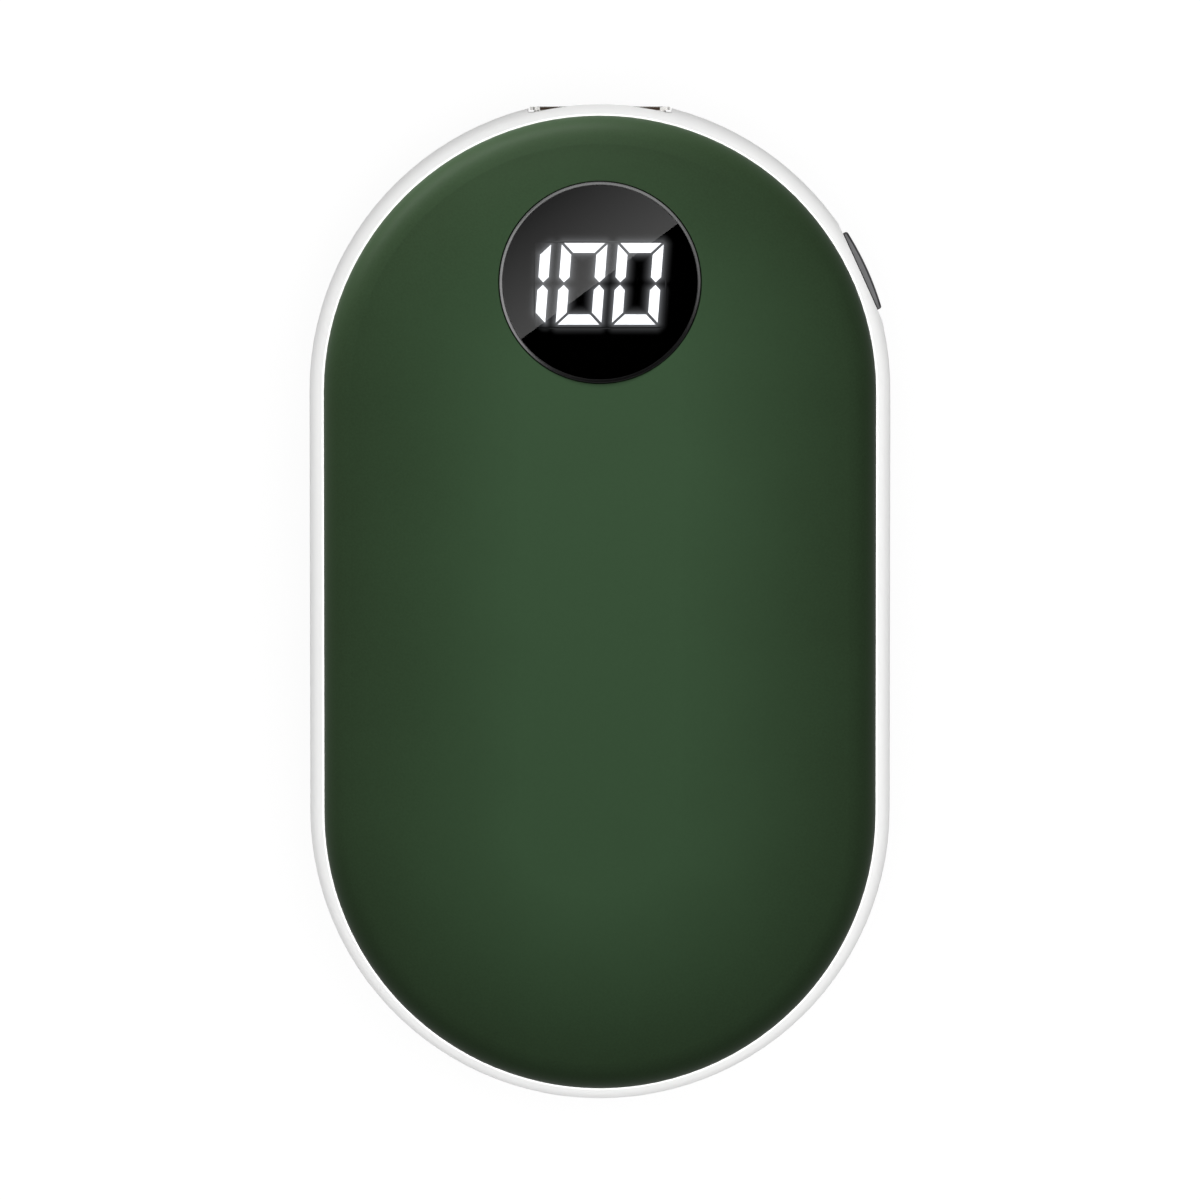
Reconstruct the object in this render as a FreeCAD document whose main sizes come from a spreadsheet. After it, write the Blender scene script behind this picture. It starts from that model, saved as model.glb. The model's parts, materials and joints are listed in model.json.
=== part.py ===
import FreeCAD, Part
import math
import os
from types import SimpleNamespace

import Sketcher
from FreeCAD import Placement, Rotation, Vector

# A pocket hand warmer lying on its back: X across, Y towards the display end, Z up out of the display.
# The origin is the middle of the flat the back rests on. Lengths are in millimetres, angles in degrees.
SIZES = {
    # Whole body
    "body_width": 58.0,
    "body_length": 100.0,
    "body_thickness": 25.0,
    "band_height": 11.2,
    "band_side_radius": 12.0,
    "frame_wall": 3.4,
    # Covers and their snap joint
    "cover_reveal": 0.17,
    "cover_wall": 1.2,
    "cover_edge_radius": 4.2,
    "crown_flat": 16.0,
    "spigot_wall": 1.2,
    "spigot_depth": 2.5,
    "spigot_clearance": 0.1,
    "bead_height": 0.3,
    "bead_width": 0.9,
    "bead_drop": 1.4,
    # Display lens and its seat
    "lens_diameter": 19.9,
    "lens_thickness": 1.5,
    "lens_chamfer": 0.4,
    "lens_inset": 17.9,
    "lens_drop": 0.55,
    "lens_tilt": 5.4,
    "lens_clearance": 0.1,
    "lens_tape": 0.15,
    "lens_seat_wall": 1.1,
    "lens_seat_rim": 1.6,
    "lens_seat_lap": 0.7,
    "window_diameter": 18.0,
    # Display module
    "display_width": 14.0,
    "display_length": 9.6,
    "display_room": 1.2,
    "display_shift": 0.25,
    "digit_height": 8.1,
    "digit_width": 4.5,
    "digit_pitch": 5.56,
    "digit_lead": 1.82,
    "digit_slant": 4.4,
    "segment_width": 1.0,
    "segment_gap": 0.2,
    "segment_middle_gap": 0.14,
    "segment_depth": 1.0,
    "gasket_thickness": 0.6,
    "gasket_rim": 0.5,
    "display_pin": 0.5,
    "display_pin_pitch": 2.0,
    "display_pin_tail": 1.0,
    "display_pin_inset": 1.2,
    # Power button
    "button_angle": 24.5,
    "button_length": 8.4,
    "button_height": 3.4,
    "button_proud": 0.3,
    "button_facet": 0.5,
    "button_edge": 0.25,
    "button_clearance": 0.1,
    "button_flange_length": 10.0,
    "button_flange_height": 4.6,
    "button_flange_thickness": 0.8,
    "button_flange_gap": 0.2,
    "button_post_length": 0.7,
    "button_post_width": 3.0,
    "button_post_height": 2.2,
    # Side switch behind the button
    "switch_width": 6.0,
    "switch_depth": 4.0,
    "switch_height": 5.0,
    "switch_wall": 0.8,
    "switch_cavity_depth": 2.0,
    "plunger_width": 2.4,
    "plunger_height": 1.6,
    "plunger_reach": 1.0,
    "plunger_flange": 0.5,
    "plunger_flange_thickness": 0.6,
    "plunger_clearance": 0.05,
    "plunger_side_room": 0.3,
    # USB-A socket
    "usb_a_width": 13.1,
    "usb_a_height": 5.7,
    "usb_a_depth": 14.0,
    "usb_a_sheet": 0.3,
    "usb_a_corner": 0.5,
    "usb_a_flange_side_lip": 0.45,
    "usb_a_flange_upper_lip": 0.4,
    "usb_a_recess": 0.74,
    "usb_a_block_depth": 4.6,
    "usb_a_tongue_side_gap": 0.7,
    "usb_a_tongue_thickness": 1.84,
    "usb_a_tongue_recess": 1.0,
    "usb_a_contact_width": 1.0,
    "usb_a_contact_sheet": 0.2,
    "usb_a_contact_outer": 3.5,
    "usb_a_contact_inner": 1.0,
    "usb_a_contact_set_back": 0.6,
    "socket_fill_gap": 0.05,
    "port_clearance": 0.15,
    "flange_floor": 0.25,
    # USB-C socket
    "usb_c_width": 8.94,
    "usb_c_height": 3.26,
    "usb_c_depth": 7.3,
    "usb_c_sheet": 0.3,
    "usb_c_recess": 0.45,
    "usb_c_block_depth": 2.0,
    "usb_c_tongue_width": 6.6,
    "usb_c_tongue_recess": 0.7,
    "usb_c_contact_width": 0.3,
    "usb_c_contact_sheet": 0.1,
    "usb_c_contact_pitch": 0.9,
    "usb_c_contact_set_back": 0.4,
    "usb_c_contact_tail": 1.0,
    "usb_c_wing_reach": 1.4,
    "usb_c_wing_length": 1.2,
    "usb_c_wing_sheet": 0.3,
    "usb_c_wing_inset": 4.7,
    # Boards
    "board_thickness": 1.2,
    "board_edge_gap": 0.6,
    "board_margin": 3.2,
    "charge_board_thickness": 0.7,
    "charge_board_side_margin": 2.0,
    "charge_board_inner_margin": 2.4,
    "charge_board_outer_margin": 2.9,
    "charge_board_nose_inset": 4.45,
    "charge_board_nose_margin": 0.33,
    "charge_board_notch_gap": 0.1,
    # Board parts
    "controller_side": 5.0,
    "charger_side": 4.0,
    "chip_height": 0.9,
    "inductor_side": 5.0,
    "inductor_height": 2.8,
    "inductor_chamfer": 0.8,
    "capacitor_length": 3.2,
    "capacitor_width": 1.6,
    "capacitor_pitch": 3.6,
    "capacitor_inset": 2.0,
    "part_gap": 0.65,
    "part_inset": 5.3,
    # Battery and tray
    "battery_cover_gap": 6.0,
    "battery_edge": 2.0,
    "terrace_length": 4.0,
    "terrace_side_inset": 2.0,
    "terrace_thickness": 1.0,
    "protection_side_inset": 4.0,
    "protection_length": 3.0,
    "protection_thickness": 1.0,
    "tab_width": 4.0,
    "tab_sheet": 0.15,
    "tab_across": 5.0,
    "tape_thickness": 0.1,
    "tape_inset": 4.0,
    "tray_clearance": 0.3,
    "tray_wall": 1.2,
    "tray_floor": 1.0,
    "tray_corner": 4.0,
    "tray_corner_gap": 0.6,
    "tray_side_gap": 1.2,
    "tray_board_gap": 0.7,
    "tray_charge_gap": 1.9,
    "ear_length": 6.0,
    "ear_thickness": 1.2,
    "ear_high_inset": 13.0,
    "ear_low_reach": 3.0,
    "ear_gap": 0.1,
    # Heaters and insulation
    "film_thickness": 0.25,
    "film_adhesive": 0.05,
    "film_side_gap": 7.3,
    "film_end_gap": 2.0,
    "film_lens_gap": 1.0,
    "trace_thickness": 0.05,
    "trace_width": 0.8,
    "trace_pitch": 2.4,
    "trace_end_gap": 3.0,
    "pad_side_gap": 3.0,
    "pad_low_gap": 2.0,
    "pad_high_gap": 6.0,
    "thermistor_radius": 0.8,
    "thermistor_length": 4.0,
    "thermistor_inset": 1.4,
    # Leads
    "lead_radius": 0.45,
    "lead_bend": 1.0,
    "lead_rise": 1.3,
    "lead_turn": 2.5,
    "lead_side": 1.9,
    "lead_corner_across": 3.0,
    "lead_corner_along": 3.2,
    "lead_shoulder_across": 0.5,
    "lead_shoulder_along": 0.8,
    "lead_shoulder_run": 6.0,
    "charge_lead_across": 4.6,
    "charge_lead_inset": 1.2,
    "heater_lead_start": 1.4,
    "board_pad_inset": 1.6,
    # Screws and bosses
    "screw_head_diameter": 3.0,
    "screw_head_height": 1.0,
    "screw_shank_diameter": 1.7,
    "screw_length": 3.0,
    "screw_slot_width": 0.5,
    "screw_slot_length": 2.0,
    "screw_slot_depth": 0.5,
    "screw_clearance": 0.03,
    "screw_hole_clearance": 0.2,
    "boss_radius": 1.9,
    "boss_depth": 4.2,
    "boss_rib": 1.8,
    "boss_inset": 3.0,
    "boss_first_angle": 55.0,
    "boss_second_angle": 125.0,
    "boss_edge_inset": 4.1,
    "charge_boss_angle": 62.0,
    # Shared
    "weld": 0.3,
    "overrun": 4.0,
}

half_turn = 180
quarter_turn = 90
PIN_COUNT = 6
CAPACITOR_COUNT = 3
TRACE_RUNS = 6
USB_C_CONTACT_COUNT = 6
# Allowance when two computed positions are compared
HAIR = 1e-6

doc = FreeCAD.newDocument("hand_warmer")
sheet = doc.addObject("Spreadsheet::Sheet", "Sizes")
for row, (alias, amount) in enumerate(SIZES.items(), start=1):
    sheet.set(f"A{row}", alias.replace("_", " "))
    sheet.set(f"B{row}", str(amount))
    sheet.setAlias(f"B{row}", alias)
doc.recompute()


# Sizes that carry their own sheet formula
class Size:
    """A number kept together with the sheet formula that gives it."""

    def __init__(self, formula, value):
        self.formula = formula
        self.value = value

    def __add__(self, other):
        other = as_size(other)
        return Size(f"({self.formula} + {other.formula})", self.value + other.value)

    def __sub__(self, other):
        other = as_size(other)
        return Size(f"({self.formula} - {other.formula})", self.value - other.value)

    def __mul__(self, other):
        other = as_size(other)
        return Size(f"({self.formula} * {other.formula})", self.value * other.value)

    def __truediv__(self, other):
        other = as_size(other)
        return Size(f"({self.formula} / {other.formula})", self.value / other.value)

    def __neg__(self):
        return Size(f"(0 - {self.formula})", -self.value)


def as_size(item):
    if isinstance(item, Size):
        return item
    return Size(f"({item})", item)


def root(item):
    return Size(f"sqrt({item.formula})", math.sqrt(item.value))


def sine(item):
    return Size(f"sin({item.formula})", math.sin(math.radians(item.value)))


def cosine(item):
    return Size(f"cos({item.formula})", math.cos(math.radians(item.value)))


def square(item):
    return item * item


def larger(one, other):
    return Size(f"max({one.formula}; {other.formula})", max(one.value, other.value))


def smaller(one, other):
    return Size(f"min({one.formula}; {other.formula})", min(one.value, other.value))


given = SimpleNamespace(**{alias: Size(f"Sizes.{alias}", float(sheet.get(alias))) for alias in SIZES})
zero = as_size(0)


# Frames, bound placements and features
class Frame:
    """A local frame: an origin, and a turn about Z or a tip of Z towards Y."""

    def __init__(self, origin, kind="level", angle=zero, sense=1):
        self.origin = origin
        self.kind = kind
        self.angle = angle
        self.sense = sense

    def point(self, across, along, up):
        far = cosine(self.angle)
        aside = sine(self.angle) * self.sense
        if self.kind == "turned":
            across, along = across * far - along * aside, across * aside + along * far
        if self.kind == "tipped":
            along, up = along * far + up * aside, up * far - along * aside
        return tuple(start + step for start, step in zip(self.origin, (across, along, up)))

    def axis(self):
        if self.kind == "tipped":
            return Vector(-self.sense, 0, 0)
        return Vector(0, 0, self.sense)


def bind(item, name, size):
    item.setExpression(name, as_size(size).formula)


def place(item, frame, across=zero, along=zero, up=zero):
    spot = frame.point(across, along, up)
    turn = Rotation(frame.axis(), frame.angle.value)
    item.Placement = Placement(Vector(*(size.value for size in spot)), turn)
    for letter, size in zip("xyz", spot):
        bind(item, f"Placement.Base.{letter}", size)
    if frame.kind != "level":
        bind(item, "Placement.Rotation.Angle", frame.angle)
    return item


def block(name, frame, across, along, up):
    item = doc.addObject("Part::Box", name)
    for side, (low, high) in zip(("Length", "Width", "Height"), (across, along, up)):
        bind(item, side, as_size(high) - low)
    return place(item, frame, *(as_size(span[0]) for span in (across, along, up)))


def evenly(half):
    return (-half, half)


def cylinder(name, frame, across, along, up, radius):
    item = doc.addObject("Part::Cylinder", name)
    bind(item, "Radius", radius)
    bind(item, "Height", as_size(up[1]) - up[0])
    return place(item, frame, as_size(across), as_size(along), as_size(up[0]))


def fused(name, items):
    item = doc.addObject("Part::MultiFuse", name)
    item.Shapes = items
    return item


def cut(name, base, tools):
    item = doc.addObject("Part::Cut", name)
    item.Base = base
    item.Tool = tools[0] if len(tools) == 1 else fused(f"{name}_cuts", tools)
    return item


def grouped(name, items):
    item = doc.addObject("Part::Compound", name)
    item.Links = items
    return item


# Sketches
def fix(sketch, geometry, point, kind, size):
    """Hold one coordinate of a sketch point at a sheet size."""
    if size.value == 0:
        line = -2 if kind == "DistanceX" else -1
        sketch.addConstraint(Sketcher.Constraint("PointOnObject", geometry, point, line))
        return
    index = sketch.addConstraint(Sketcher.Constraint(kind, -1, 1, geometry, point, size.value))
    sketch.setExpression(f"Constraints[{index}]", size.formula)


def draw_loop(sketch, loop):
    """A closed loop of corners. A third entry at a corner is the centre of the arc that leaves it."""
    first = sketch.GeometryCount
    ends = []
    for corner, following in zip(loop, loop[1:] + loop[:1]):
        start = Vector(corner[0].value, corner[1].value, 0)
        finish = Vector(following[0].value, following[1].value, 0)
        if len(corner) == 2:
            sketch.addGeometry(Part.LineSegment(start, finish))
            ends.append((1, 2))
            continue
        centre = Vector(corner[2][0].value, corner[2][1].value, 0)
        opening = math.atan2(start.y - centre.y, start.x - centre.x)
        closing = math.atan2(finish.y - centre.y, finish.x - centre.x)
        circle = Part.Circle(centre, Vector(0, 0, 1), (start - centre).Length)
        if math.sin(closing - opening) > -HAIR:
            sketch.addGeometry(Part.ArcOfCircle(circle, opening, closing))
            ends.append((1, 2))
        else:
            sketch.addGeometry(Part.ArcOfCircle(circle, closing, opening))
            ends.append((2, 1))
    for index, corner in enumerate(loop):
        following = (index + 1) % len(loop)
        sketch.addConstraint(Sketcher.Constraint(
            "Coincident", first + index, ends[index][1], first + following, ends[following][0]))
        fix(sketch, first + index, ends[index][0], "DistanceX", corner[0])
        fix(sketch, first + index, ends[index][0], "DistanceY", corner[1])
        if len(corner) == 3:
            chord_across = abs(loop[following][0].value - corner[0].value)
            chord_up = abs(loop[following][1].value - corner[1].value)
            if chord_across > chord_up:
                fix(sketch, first + index, 3, "DistanceY", corner[2][1])
            else:
                fix(sketch, first + index, 3, "DistanceX", corner[2][0])


def draw_circle(sketch, across, along, radius):
    middle = Vector(across.value, along.value, 0)
    index = sketch.addGeometry(Part.Circle(middle, Vector(0, 0, 1), radius.value))
    fix(sketch, index, 3, "DistanceX", across)
    fix(sketch, index, 3, "DistanceY", along)
    bound = sketch.addConstraint(Sketcher.Constraint("Radius", index, radius.value))
    sketch.setExpression(f"Constraints[{bound}]", radius.formula)


def new_body(name, frame):
    return place(doc.addObject("PartDesign::Body", name), frame)


def origin_plane(body, role):
    return next(item for item in body.Origin.OriginFeatures if item.Role == role)


def sketch_on(body, role, offset, loops, circles=()):
    sketch = body.newObject("Sketcher::SketchObject", f"{body.Name}_sketch")
    sketch.AttachmentSupport = (origin_plane(body, role), "")
    sketch.MapMode = "FlatFace"
    bind(sketch, "AttachmentOffset.Base.z", offset)
    for loop in loops:
        draw_loop(sketch, loop)
    for circle in circles:
        draw_circle(sketch, *circle)
    return sketch


def pad(body, sketch, length, side="One side"):
    feature = body.newObject("PartDesign::Pad", f"{body.Name}_pad")
    feature.Profile = sketch
    feature.SideType = side
    bind(feature, "Length", length)
    return feature


def pocket(body, sketch, length):
    feature = body.newObject("PartDesign::Pocket", f"{body.Name}_pocket")
    feature.Profile = sketch
    bind(feature, "Length", length)
    return feature


def mirrored(body, feature, role):
    item = body.newObject("PartDesign::Mirrored", f"{body.Name}_mirror")
    item.Originals = [feature]
    item.MirrorPlane = (origin_plane(body, role), [""])
    body.Tip = item
    return item


def plate(name, frame, loops, low, high, circles=()):
    """A flat piece padded up from an outline."""
    body = new_body(name, frame)
    pad(body, sketch_on(body, "XY_Plane", low, loops, circles), as_size(high) - low)
    return body


def bar(name, frame, loops, high, length):
    """A piece padded from an outline at Y = high towards lower Y."""
    body = new_body(name, frame)
    pad(body, sketch_on(body, "XZ_Plane", -high, loops), length)
    return body


def pill_ring(name, frame, loop):
    """A half profile carried round the pill outline: a straight side, a half turn and their mirrors."""
    body = new_body(name, frame)
    side = pad(body, sketch_on(body, "XZ_Plane", zero, [loop]), straight, "Symmetric")
    end_sketch = sketch_on(body, "XZ_Plane", -end_y, [loop])
    end = body.newObject("PartDesign::Revolution", f"{name}_end")
    end.Profile = end_sketch
    end.ReferenceAxis = (end_sketch, ["V_Axis"])
    end.Angle = half_turn
    mirrored(body, end, "XZ_Plane")
    mirrored(body, side, "YZ_Plane")
    return body


def rounded_loop(across, along, radius):
    (left, right), (low, high) = across, along
    return [
        (right - radius, low, (right - radius, low + radius)),
        (right, low + radius),
        (right, high - radius, (right - radius, high - radius)),
        (right - radius, high),
        (left + radius, high, (left + radius, high - radius)),
        (left, high - radius),
        (left, low + radius, (left + radius, low + radius)),
        (left + radius, low),
    ]


def square_loop(across, along):
    (left, right), (low, high) = across, along
    return [(right, low), (right, high), (left, high), (left, low)]


def pill_loop(half_length, radius):
    straight_half = half_length - radius
    return [
        (straight_half, -radius, (straight_half, zero)),
        (straight_half, radius),
        (-straight_half, radius, (-straight_half, zero)),
        (-straight_half, -radius),
    ]


def coded(name, shape, frame):
    """A piece whose shape is worked out from the sheet in code."""
    item = doc.addObject("Part::Feature", name)
    item.Shape = shape
    return place(item, frame)


def spot(point):
    return Vector(*(as_size(size).value for size in point))


# Main levels and frames
mid = given.body_thickness / 2
straight = given.body_length - given.body_width
end_y = straight / 2
core = Frame((zero, zero, mid))
lens_y = given.body_length / 2 - given.lens_inset
lens_frame = Frame((zero, lens_y, given.body_thickness - given.lens_drop), "tipped", given.lens_tilt)
button_frame = Frame((zero, end_y, mid), "turned", given.button_angle)

# Pill outline radii, all measured from the middle line
crown_radius = given.body_width / 2
half_band = given.band_height / 2
arc_centre = crown_radius - given.band_side_radius
band_edge = arc_centre + root(square(given.band_side_radius) - square(half_band))
frame_inside = crown_radius - given.frame_wall
spigot_outside = frame_inside - given.spigot_clearance
spigot_inside = spigot_outside - given.spigot_wall
bead_tip = spigot_outside + given.bead_height
groove_bottom = bead_tip + given.spigot_clearance
groove_half = given.bead_width / 2 + given.spigot_clearance
bead_level = half_band - given.bead_drop
spigot_end = half_band - given.spigot_depth

# Cover profile: a flat, a long crown arc and a tight edge arc, each tangent to the next
cover_rim = band_edge - given.cover_reveal
crown_top = mid
flat_half = given.crown_flat / 2
dome_height = crown_top - half_band
edge_reach = cover_rim - flat_half - given.cover_edge_radius
edge_drop = dome_height - given.cover_edge_radius
arc_sum = square(edge_reach) + square(edge_drop)
crown_arc = given.cover_edge_radius + arc_sum / (edge_drop * 2)
crown_arc_level = crown_top - crown_arc
edge_arc_across = cover_rim - given.cover_edge_radius
turn_across = edge_arc_across + given.cover_edge_radius * edge_reach * edge_drop * 2 / arc_sum
turn_level = half_band + given.cover_edge_radius * (square(edge_reach) - square(edge_drop)) / arc_sum


def crown_level(across, depth):
    """Height of the cover's crown arc above the middle, taken at a depth below the outer face."""
    return crown_arc_level + root(square(crown_arc - depth) - square(across - flat_half))


def cover_loop(side):
    wall_level = crown_level(spigot_inside, given.cover_wall)
    crown_centre = (flat_half, crown_arc_level)
    inner_top = crown_top - given.cover_wall
    loop = [
        (zero, crown_top),
        (flat_half, crown_top, crown_centre),
        (turn_across, turn_level, (edge_arc_across, half_band)),
        (cover_rim, half_band),
        (spigot_outside, half_band),
        (spigot_outside, bead_level + given.bead_width / 2),
        (bead_tip, bead_level),
        (spigot_outside, bead_level - given.bead_width / 2),
        (spigot_outside, spigot_end),
        (spigot_inside, spigot_end),
        (spigot_inside, wall_level, crown_centre),
        (flat_half, inner_top),
        (zero, inner_top),
    ]
    return flipped(loop, side)


def flipped(loop, side):
    if side > 0:
        return loop
    turned = []
    for corner in loop:
        entry = (corner[0], -corner[1])
        if len(corner) == 3:
            entry = entry + ((corner[2][0], -corner[2][1]),)
        turned.append(entry)
    return turned


# Edges of the two boards, the tray and the battery, each kept clear of what lies beside it
boss_circle = spigot_inside - given.boss_inset
display_y = lens_y - given.display_shift
board_edge = display_y - given.display_length / 2 - given.board_margin
charge_boss_x = boss_circle * cosine(given.charge_boss_angle)
charge_boss_y = -end_y - boss_circle * sine(given.charge_boss_angle)
charge_inner = charge_boss_y + given.charge_board_inner_margin
tray_half = frame_inside - given.tray_side_gap - given.boss_radius * 2 - given.ear_gap
tray_high = board_edge - given.tray_board_gap
corner_reach = spigot_inside - given.tray_corner_gap - given.tray_corner
corner_along = root(square(corner_reach) - square(tray_half - given.tray_corner))
tray_low = larger(charge_inner + given.tray_charge_gap, -(end_y + corner_along + given.tray_corner))
battery_half = tray_half - given.tray_wall - given.tray_clearance
battery_top = crown_top - given.battery_cover_gap
battery_low = tray_low + given.tray_wall + given.tray_clearance
terrace_end = tray_high - given.tray_wall - given.tray_clearance
battery_high = terrace_end - given.terrace_length

# Middle frame with its bosses, ports and button opening
ring_loop = [(band_edge, -half_band, (arc_centre, zero)), (band_edge, half_band), (frame_inside, half_band)]
for level in (bead_level, -bead_level):
    ring_loop += [
        (frame_inside, level + groove_half),
        (groove_bottom, level + groove_half),
        (groove_bottom, level - groove_half),
        (frame_inside, level - groove_half),
    ]
ring_loop.append((frame_inside, -half_band))
ring = pill_ring("frame_ring", core, ring_loop)

board_low = given.usb_a_height / 2
board_high = board_low + given.board_thickness
charge_low = -given.charge_board_thickness / 2
charge_high = given.charge_board_thickness / 2
rib_half = spigot_end - given.weld
shank_radius = given.screw_shank_diameter / 2
pilot_radius = shank_radius + given.screw_clearance
through_radius = shank_radius + given.screw_hole_clearance
head_radius = given.screw_head_diameter / 2

# Each screw: the frame it sits in, its place there and the level its head bears on
screws = []
frame_bosses = []
pilot_holes = []


def round_boss(name, frame, across, wall, seat, low, bearing):
    """A boss on a rib that reaches out into the frame wall, with its pilot hole and screw."""
    rib_top = seat if seat.value < rib_half.value else rib_half
    rib_side = given.boss_rib / 2
    frame_bosses.append(cylinder(name, frame, across, zero, (low, seat), given.boss_radius))
    reach = (across, wall + rib_side)
    frame_bosses.append(block(f"{name}_rib", frame, reach, evenly(rib_side), (-rib_half, rib_top)))
    hole = (low - given.overrun, seat + given.overrun)
    pilot_holes.append(cylinder(f"{name}_pilot", frame, across, zero, hole, pilot_radius))
    screws.append((frame, across, zero, bearing))


# Two board bosses stand on the end's round, and the third beside the board's straight edge
side_boss_y = board_edge + given.boss_edge_inset
side_boss_rise = side_boss_y - end_y
board_seats = [
    (Frame((zero, end_y, mid), "turned", angle), boss_circle, frame_inside)
    for angle in (given.boss_first_angle, given.boss_second_angle)
]
board_seats.append((
    Frame((zero, side_boss_y, mid), "turned", as_size(half_turn)),
    root(square(boss_circle) - square(side_boss_rise)),
    root(square(frame_inside) - square(side_boss_rise)),
))
for number, seat in enumerate(board_seats):
    round_boss(f"board_boss_{number}", *seat, board_low, -rib_half, board_high)
bottom_end = (zero, -end_y, mid)
charge_angles = (given.charge_boss_angle, as_size(half_turn) - given.charge_boss_angle)
charge_seats = [(Frame(bottom_end, "turned", angle, -1), boss_circle, frame_inside) for angle in charge_angles]
for number, seat in enumerate(charge_seats):
    round_boss(f"charge_boss_{number}", *seat, charge_low, charge_low - given.boss_depth, charge_high)

ear_across = tray_half + given.boss_radius + given.ear_gap
ear_places = (-(end_y + given.ear_low_reach), end_y - given.ear_high_inset)
for side in (-1, 1):
    for end, along in enumerate(ear_places):
        name = f"tray_boss_{(side + 1) + end}"
        across = ear_across * side
        frame_bosses.append(cylinder(name, core, across, along, (-rib_half, zero), given.boss_radius))
        span = (ear_across, frame_inside + given.weld)
        if side < 0:
            span = (-span[1], -span[0])
        width = (along - given.boss_radius, along + given.boss_radius)
        frame_bosses.append(block(f"{name}_rib", core, span, width, (-rib_half, zero)))
        hole = (-rib_half - given.overrun, given.overrun)
        pilot_holes.append(cylinder(f"{name}_pilot", core, across, along, hole, pilot_radius))
        screws.append((core, across, along, given.ear_thickness))

mouth_y = given.body_length / 2 - given.usb_a_recess
flange_back = mouth_y - given.usb_a_sheet
usb_a_half = given.usb_a_width / 2
flange_half = usb_a_half + given.usb_a_flange_side_lip
flange_half_height = board_low + given.usb_a_flange_upper_lip
past_end = given.body_length / 2 + given.overrun
port_a = block(
    "port_a_opening",
    core,
    evenly(usb_a_half + given.port_clearance),
    (end_y, past_end),
    evenly(board_low + given.port_clearance),
)
port_a_pocket = block(
    "port_a_pocket",
    core,
    evenly(flange_half + given.port_clearance),
    (flange_back - given.flange_floor, past_end),
    evenly(flange_half_height + given.port_clearance),
)
usb_c_half = given.usb_c_width / 2
usb_c_radius = given.usb_c_height / 2
port_c = bar(
    "port_c_opening",
    core,
    [pill_loop(usb_c_half + given.port_clearance, usb_c_radius + given.port_clearance)],
    -end_y,
    past_end - end_y,
)

facet_level = crown_radius - given.button_facet
button_half = given.button_length / 2
button_radius = given.button_height / 2
facet = block(
    "button_facet",
    button_frame,
    (facet_level, crown_radius + given.overrun),
    evenly(given.button_length),
    evenly(half_band),
)


def outward_bar(name, loop, low, high):
    """A piece padded outwards along the button's own axis."""
    body = new_body(name, button_frame)
    pad(body, sketch_on(body, "YZ_Plane", low, [loop]), high - low)
    return body


button_opening = outward_bar(
    "button_opening",
    pill_loop(button_half + given.button_clearance, button_radius + given.button_clearance),
    frame_inside - given.overrun,
    crown_radius + given.overrun,
)
frame_blank = fused("frame_blank", [ring] + frame_bosses)
middle_frame = cut(
    "middle_frame", frame_blank, pilot_holes + [port_a, port_a_pocket, port_c, facet, button_opening])

# Covers
lens_radius = given.lens_diameter / 2
seat_radius = lens_radius + given.lens_seat_rim
window_radius = given.window_diameter / 2
seat_level = -(given.lens_thickness + given.lens_tape)
front_shell = pill_ring("front_shell", core, cover_loop(1))
seat_ring = cylinder(
    "lens_seat_ring",
    lens_frame,
    zero,
    zero,
    (seat_level - given.lens_seat_wall, seat_level + given.lens_seat_lap),
    seat_radius,
)
lens_pocket = cylinder(
    "lens_pocket", lens_frame, zero, zero, (seat_level, given.overrun), lens_radius + given.lens_clearance)
window = cylinder(
    "window_hole", lens_frame, zero, zero, (seat_level - given.overrun, given.overrun), window_radius)
front_cover = cut("front_cover", fused("front_blank", [front_shell, seat_ring]), [lens_pocket, window])
back_cover = pill_ring("back_cover", core, cover_loop(-1))

# Display lens with a bevelled edge, and the tape under it
lens_body = plate(
    "display_lens", lens_frame, [], -given.lens_thickness, zero, [(zero, zero, lens_radius)])
doc.recompute()
lens_pad = lens_body.Tip
lens_bevel = lens_body.newObject("PartDesign::Chamfer", "lens_bevel")
upper_edges = [
    f"Edge{number}"
    for number, edge in enumerate(lens_pad.Shape.Edges, start=1)
    if edge.BoundBox.ZMin > -HAIR
]
lens_bevel.Base = (lens_pad, upper_edges)
bind(lens_bevel, "Size", given.lens_chamfer)
tape_ring = [(zero, zero, lens_radius), (zero, zero, window_radius)]
lens_adhesive = plate("lens_adhesive", lens_frame, [], seat_level, -given.lens_thickness, tape_ring)


# Display module: housing, glowing bars, pins and the light gasket on top
display_top = crown_top - given.lens_drop - given.lens_thickness - given.display_room
display_frame = Frame((zero, display_y, mid))
display_half = given.display_width / 2
display_half_length = given.display_length / 2


def segment_outline(name):
    """Corners of one bar of a seven-bar digit, upright and centred on the digit."""
    half_width = given.digit_width.value / 2
    half_height = given.digit_height.value / 2
    width = given.segment_width.value
    gap = given.segment_gap.value
    tip = given.segment_middle_gap.value
    top = [
        (gap - half_width, half_height),
        (half_width - gap, half_height),
        (half_width - gap - width, half_height - width),
        (gap + width - half_width, half_height - width),
    ]
    upper_right = [
        (half_width, half_height - gap),
        (half_width, tip + width / 2),
        (half_width - width / 2, tip),
        (half_width - width, tip + width / 2),
        (half_width - width, half_height - gap - width),
    ]
    middle = [
        (gap + width / 2 - half_width, 0),
        (gap + width - half_width, width / 2),
        (half_width - gap - width, width / 2),
        (half_width - gap - width / 2, 0),
        (half_width - gap - width, -width / 2),
        (gap + width - half_width, -width / 2),
    ]
    shapes = {
        "top": top,
        "bottom": [(across, -along) for across, along in top],
        "upper_right": upper_right,
        "upper_left": [(-across, along) for across, along in upper_right],
        "lower_right": [(across, -along) for across, along in upper_right],
        "lower_left": [(-across, -along) for across, along in upper_right],
        "middle": middle,
    }
    return shapes[name]


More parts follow.
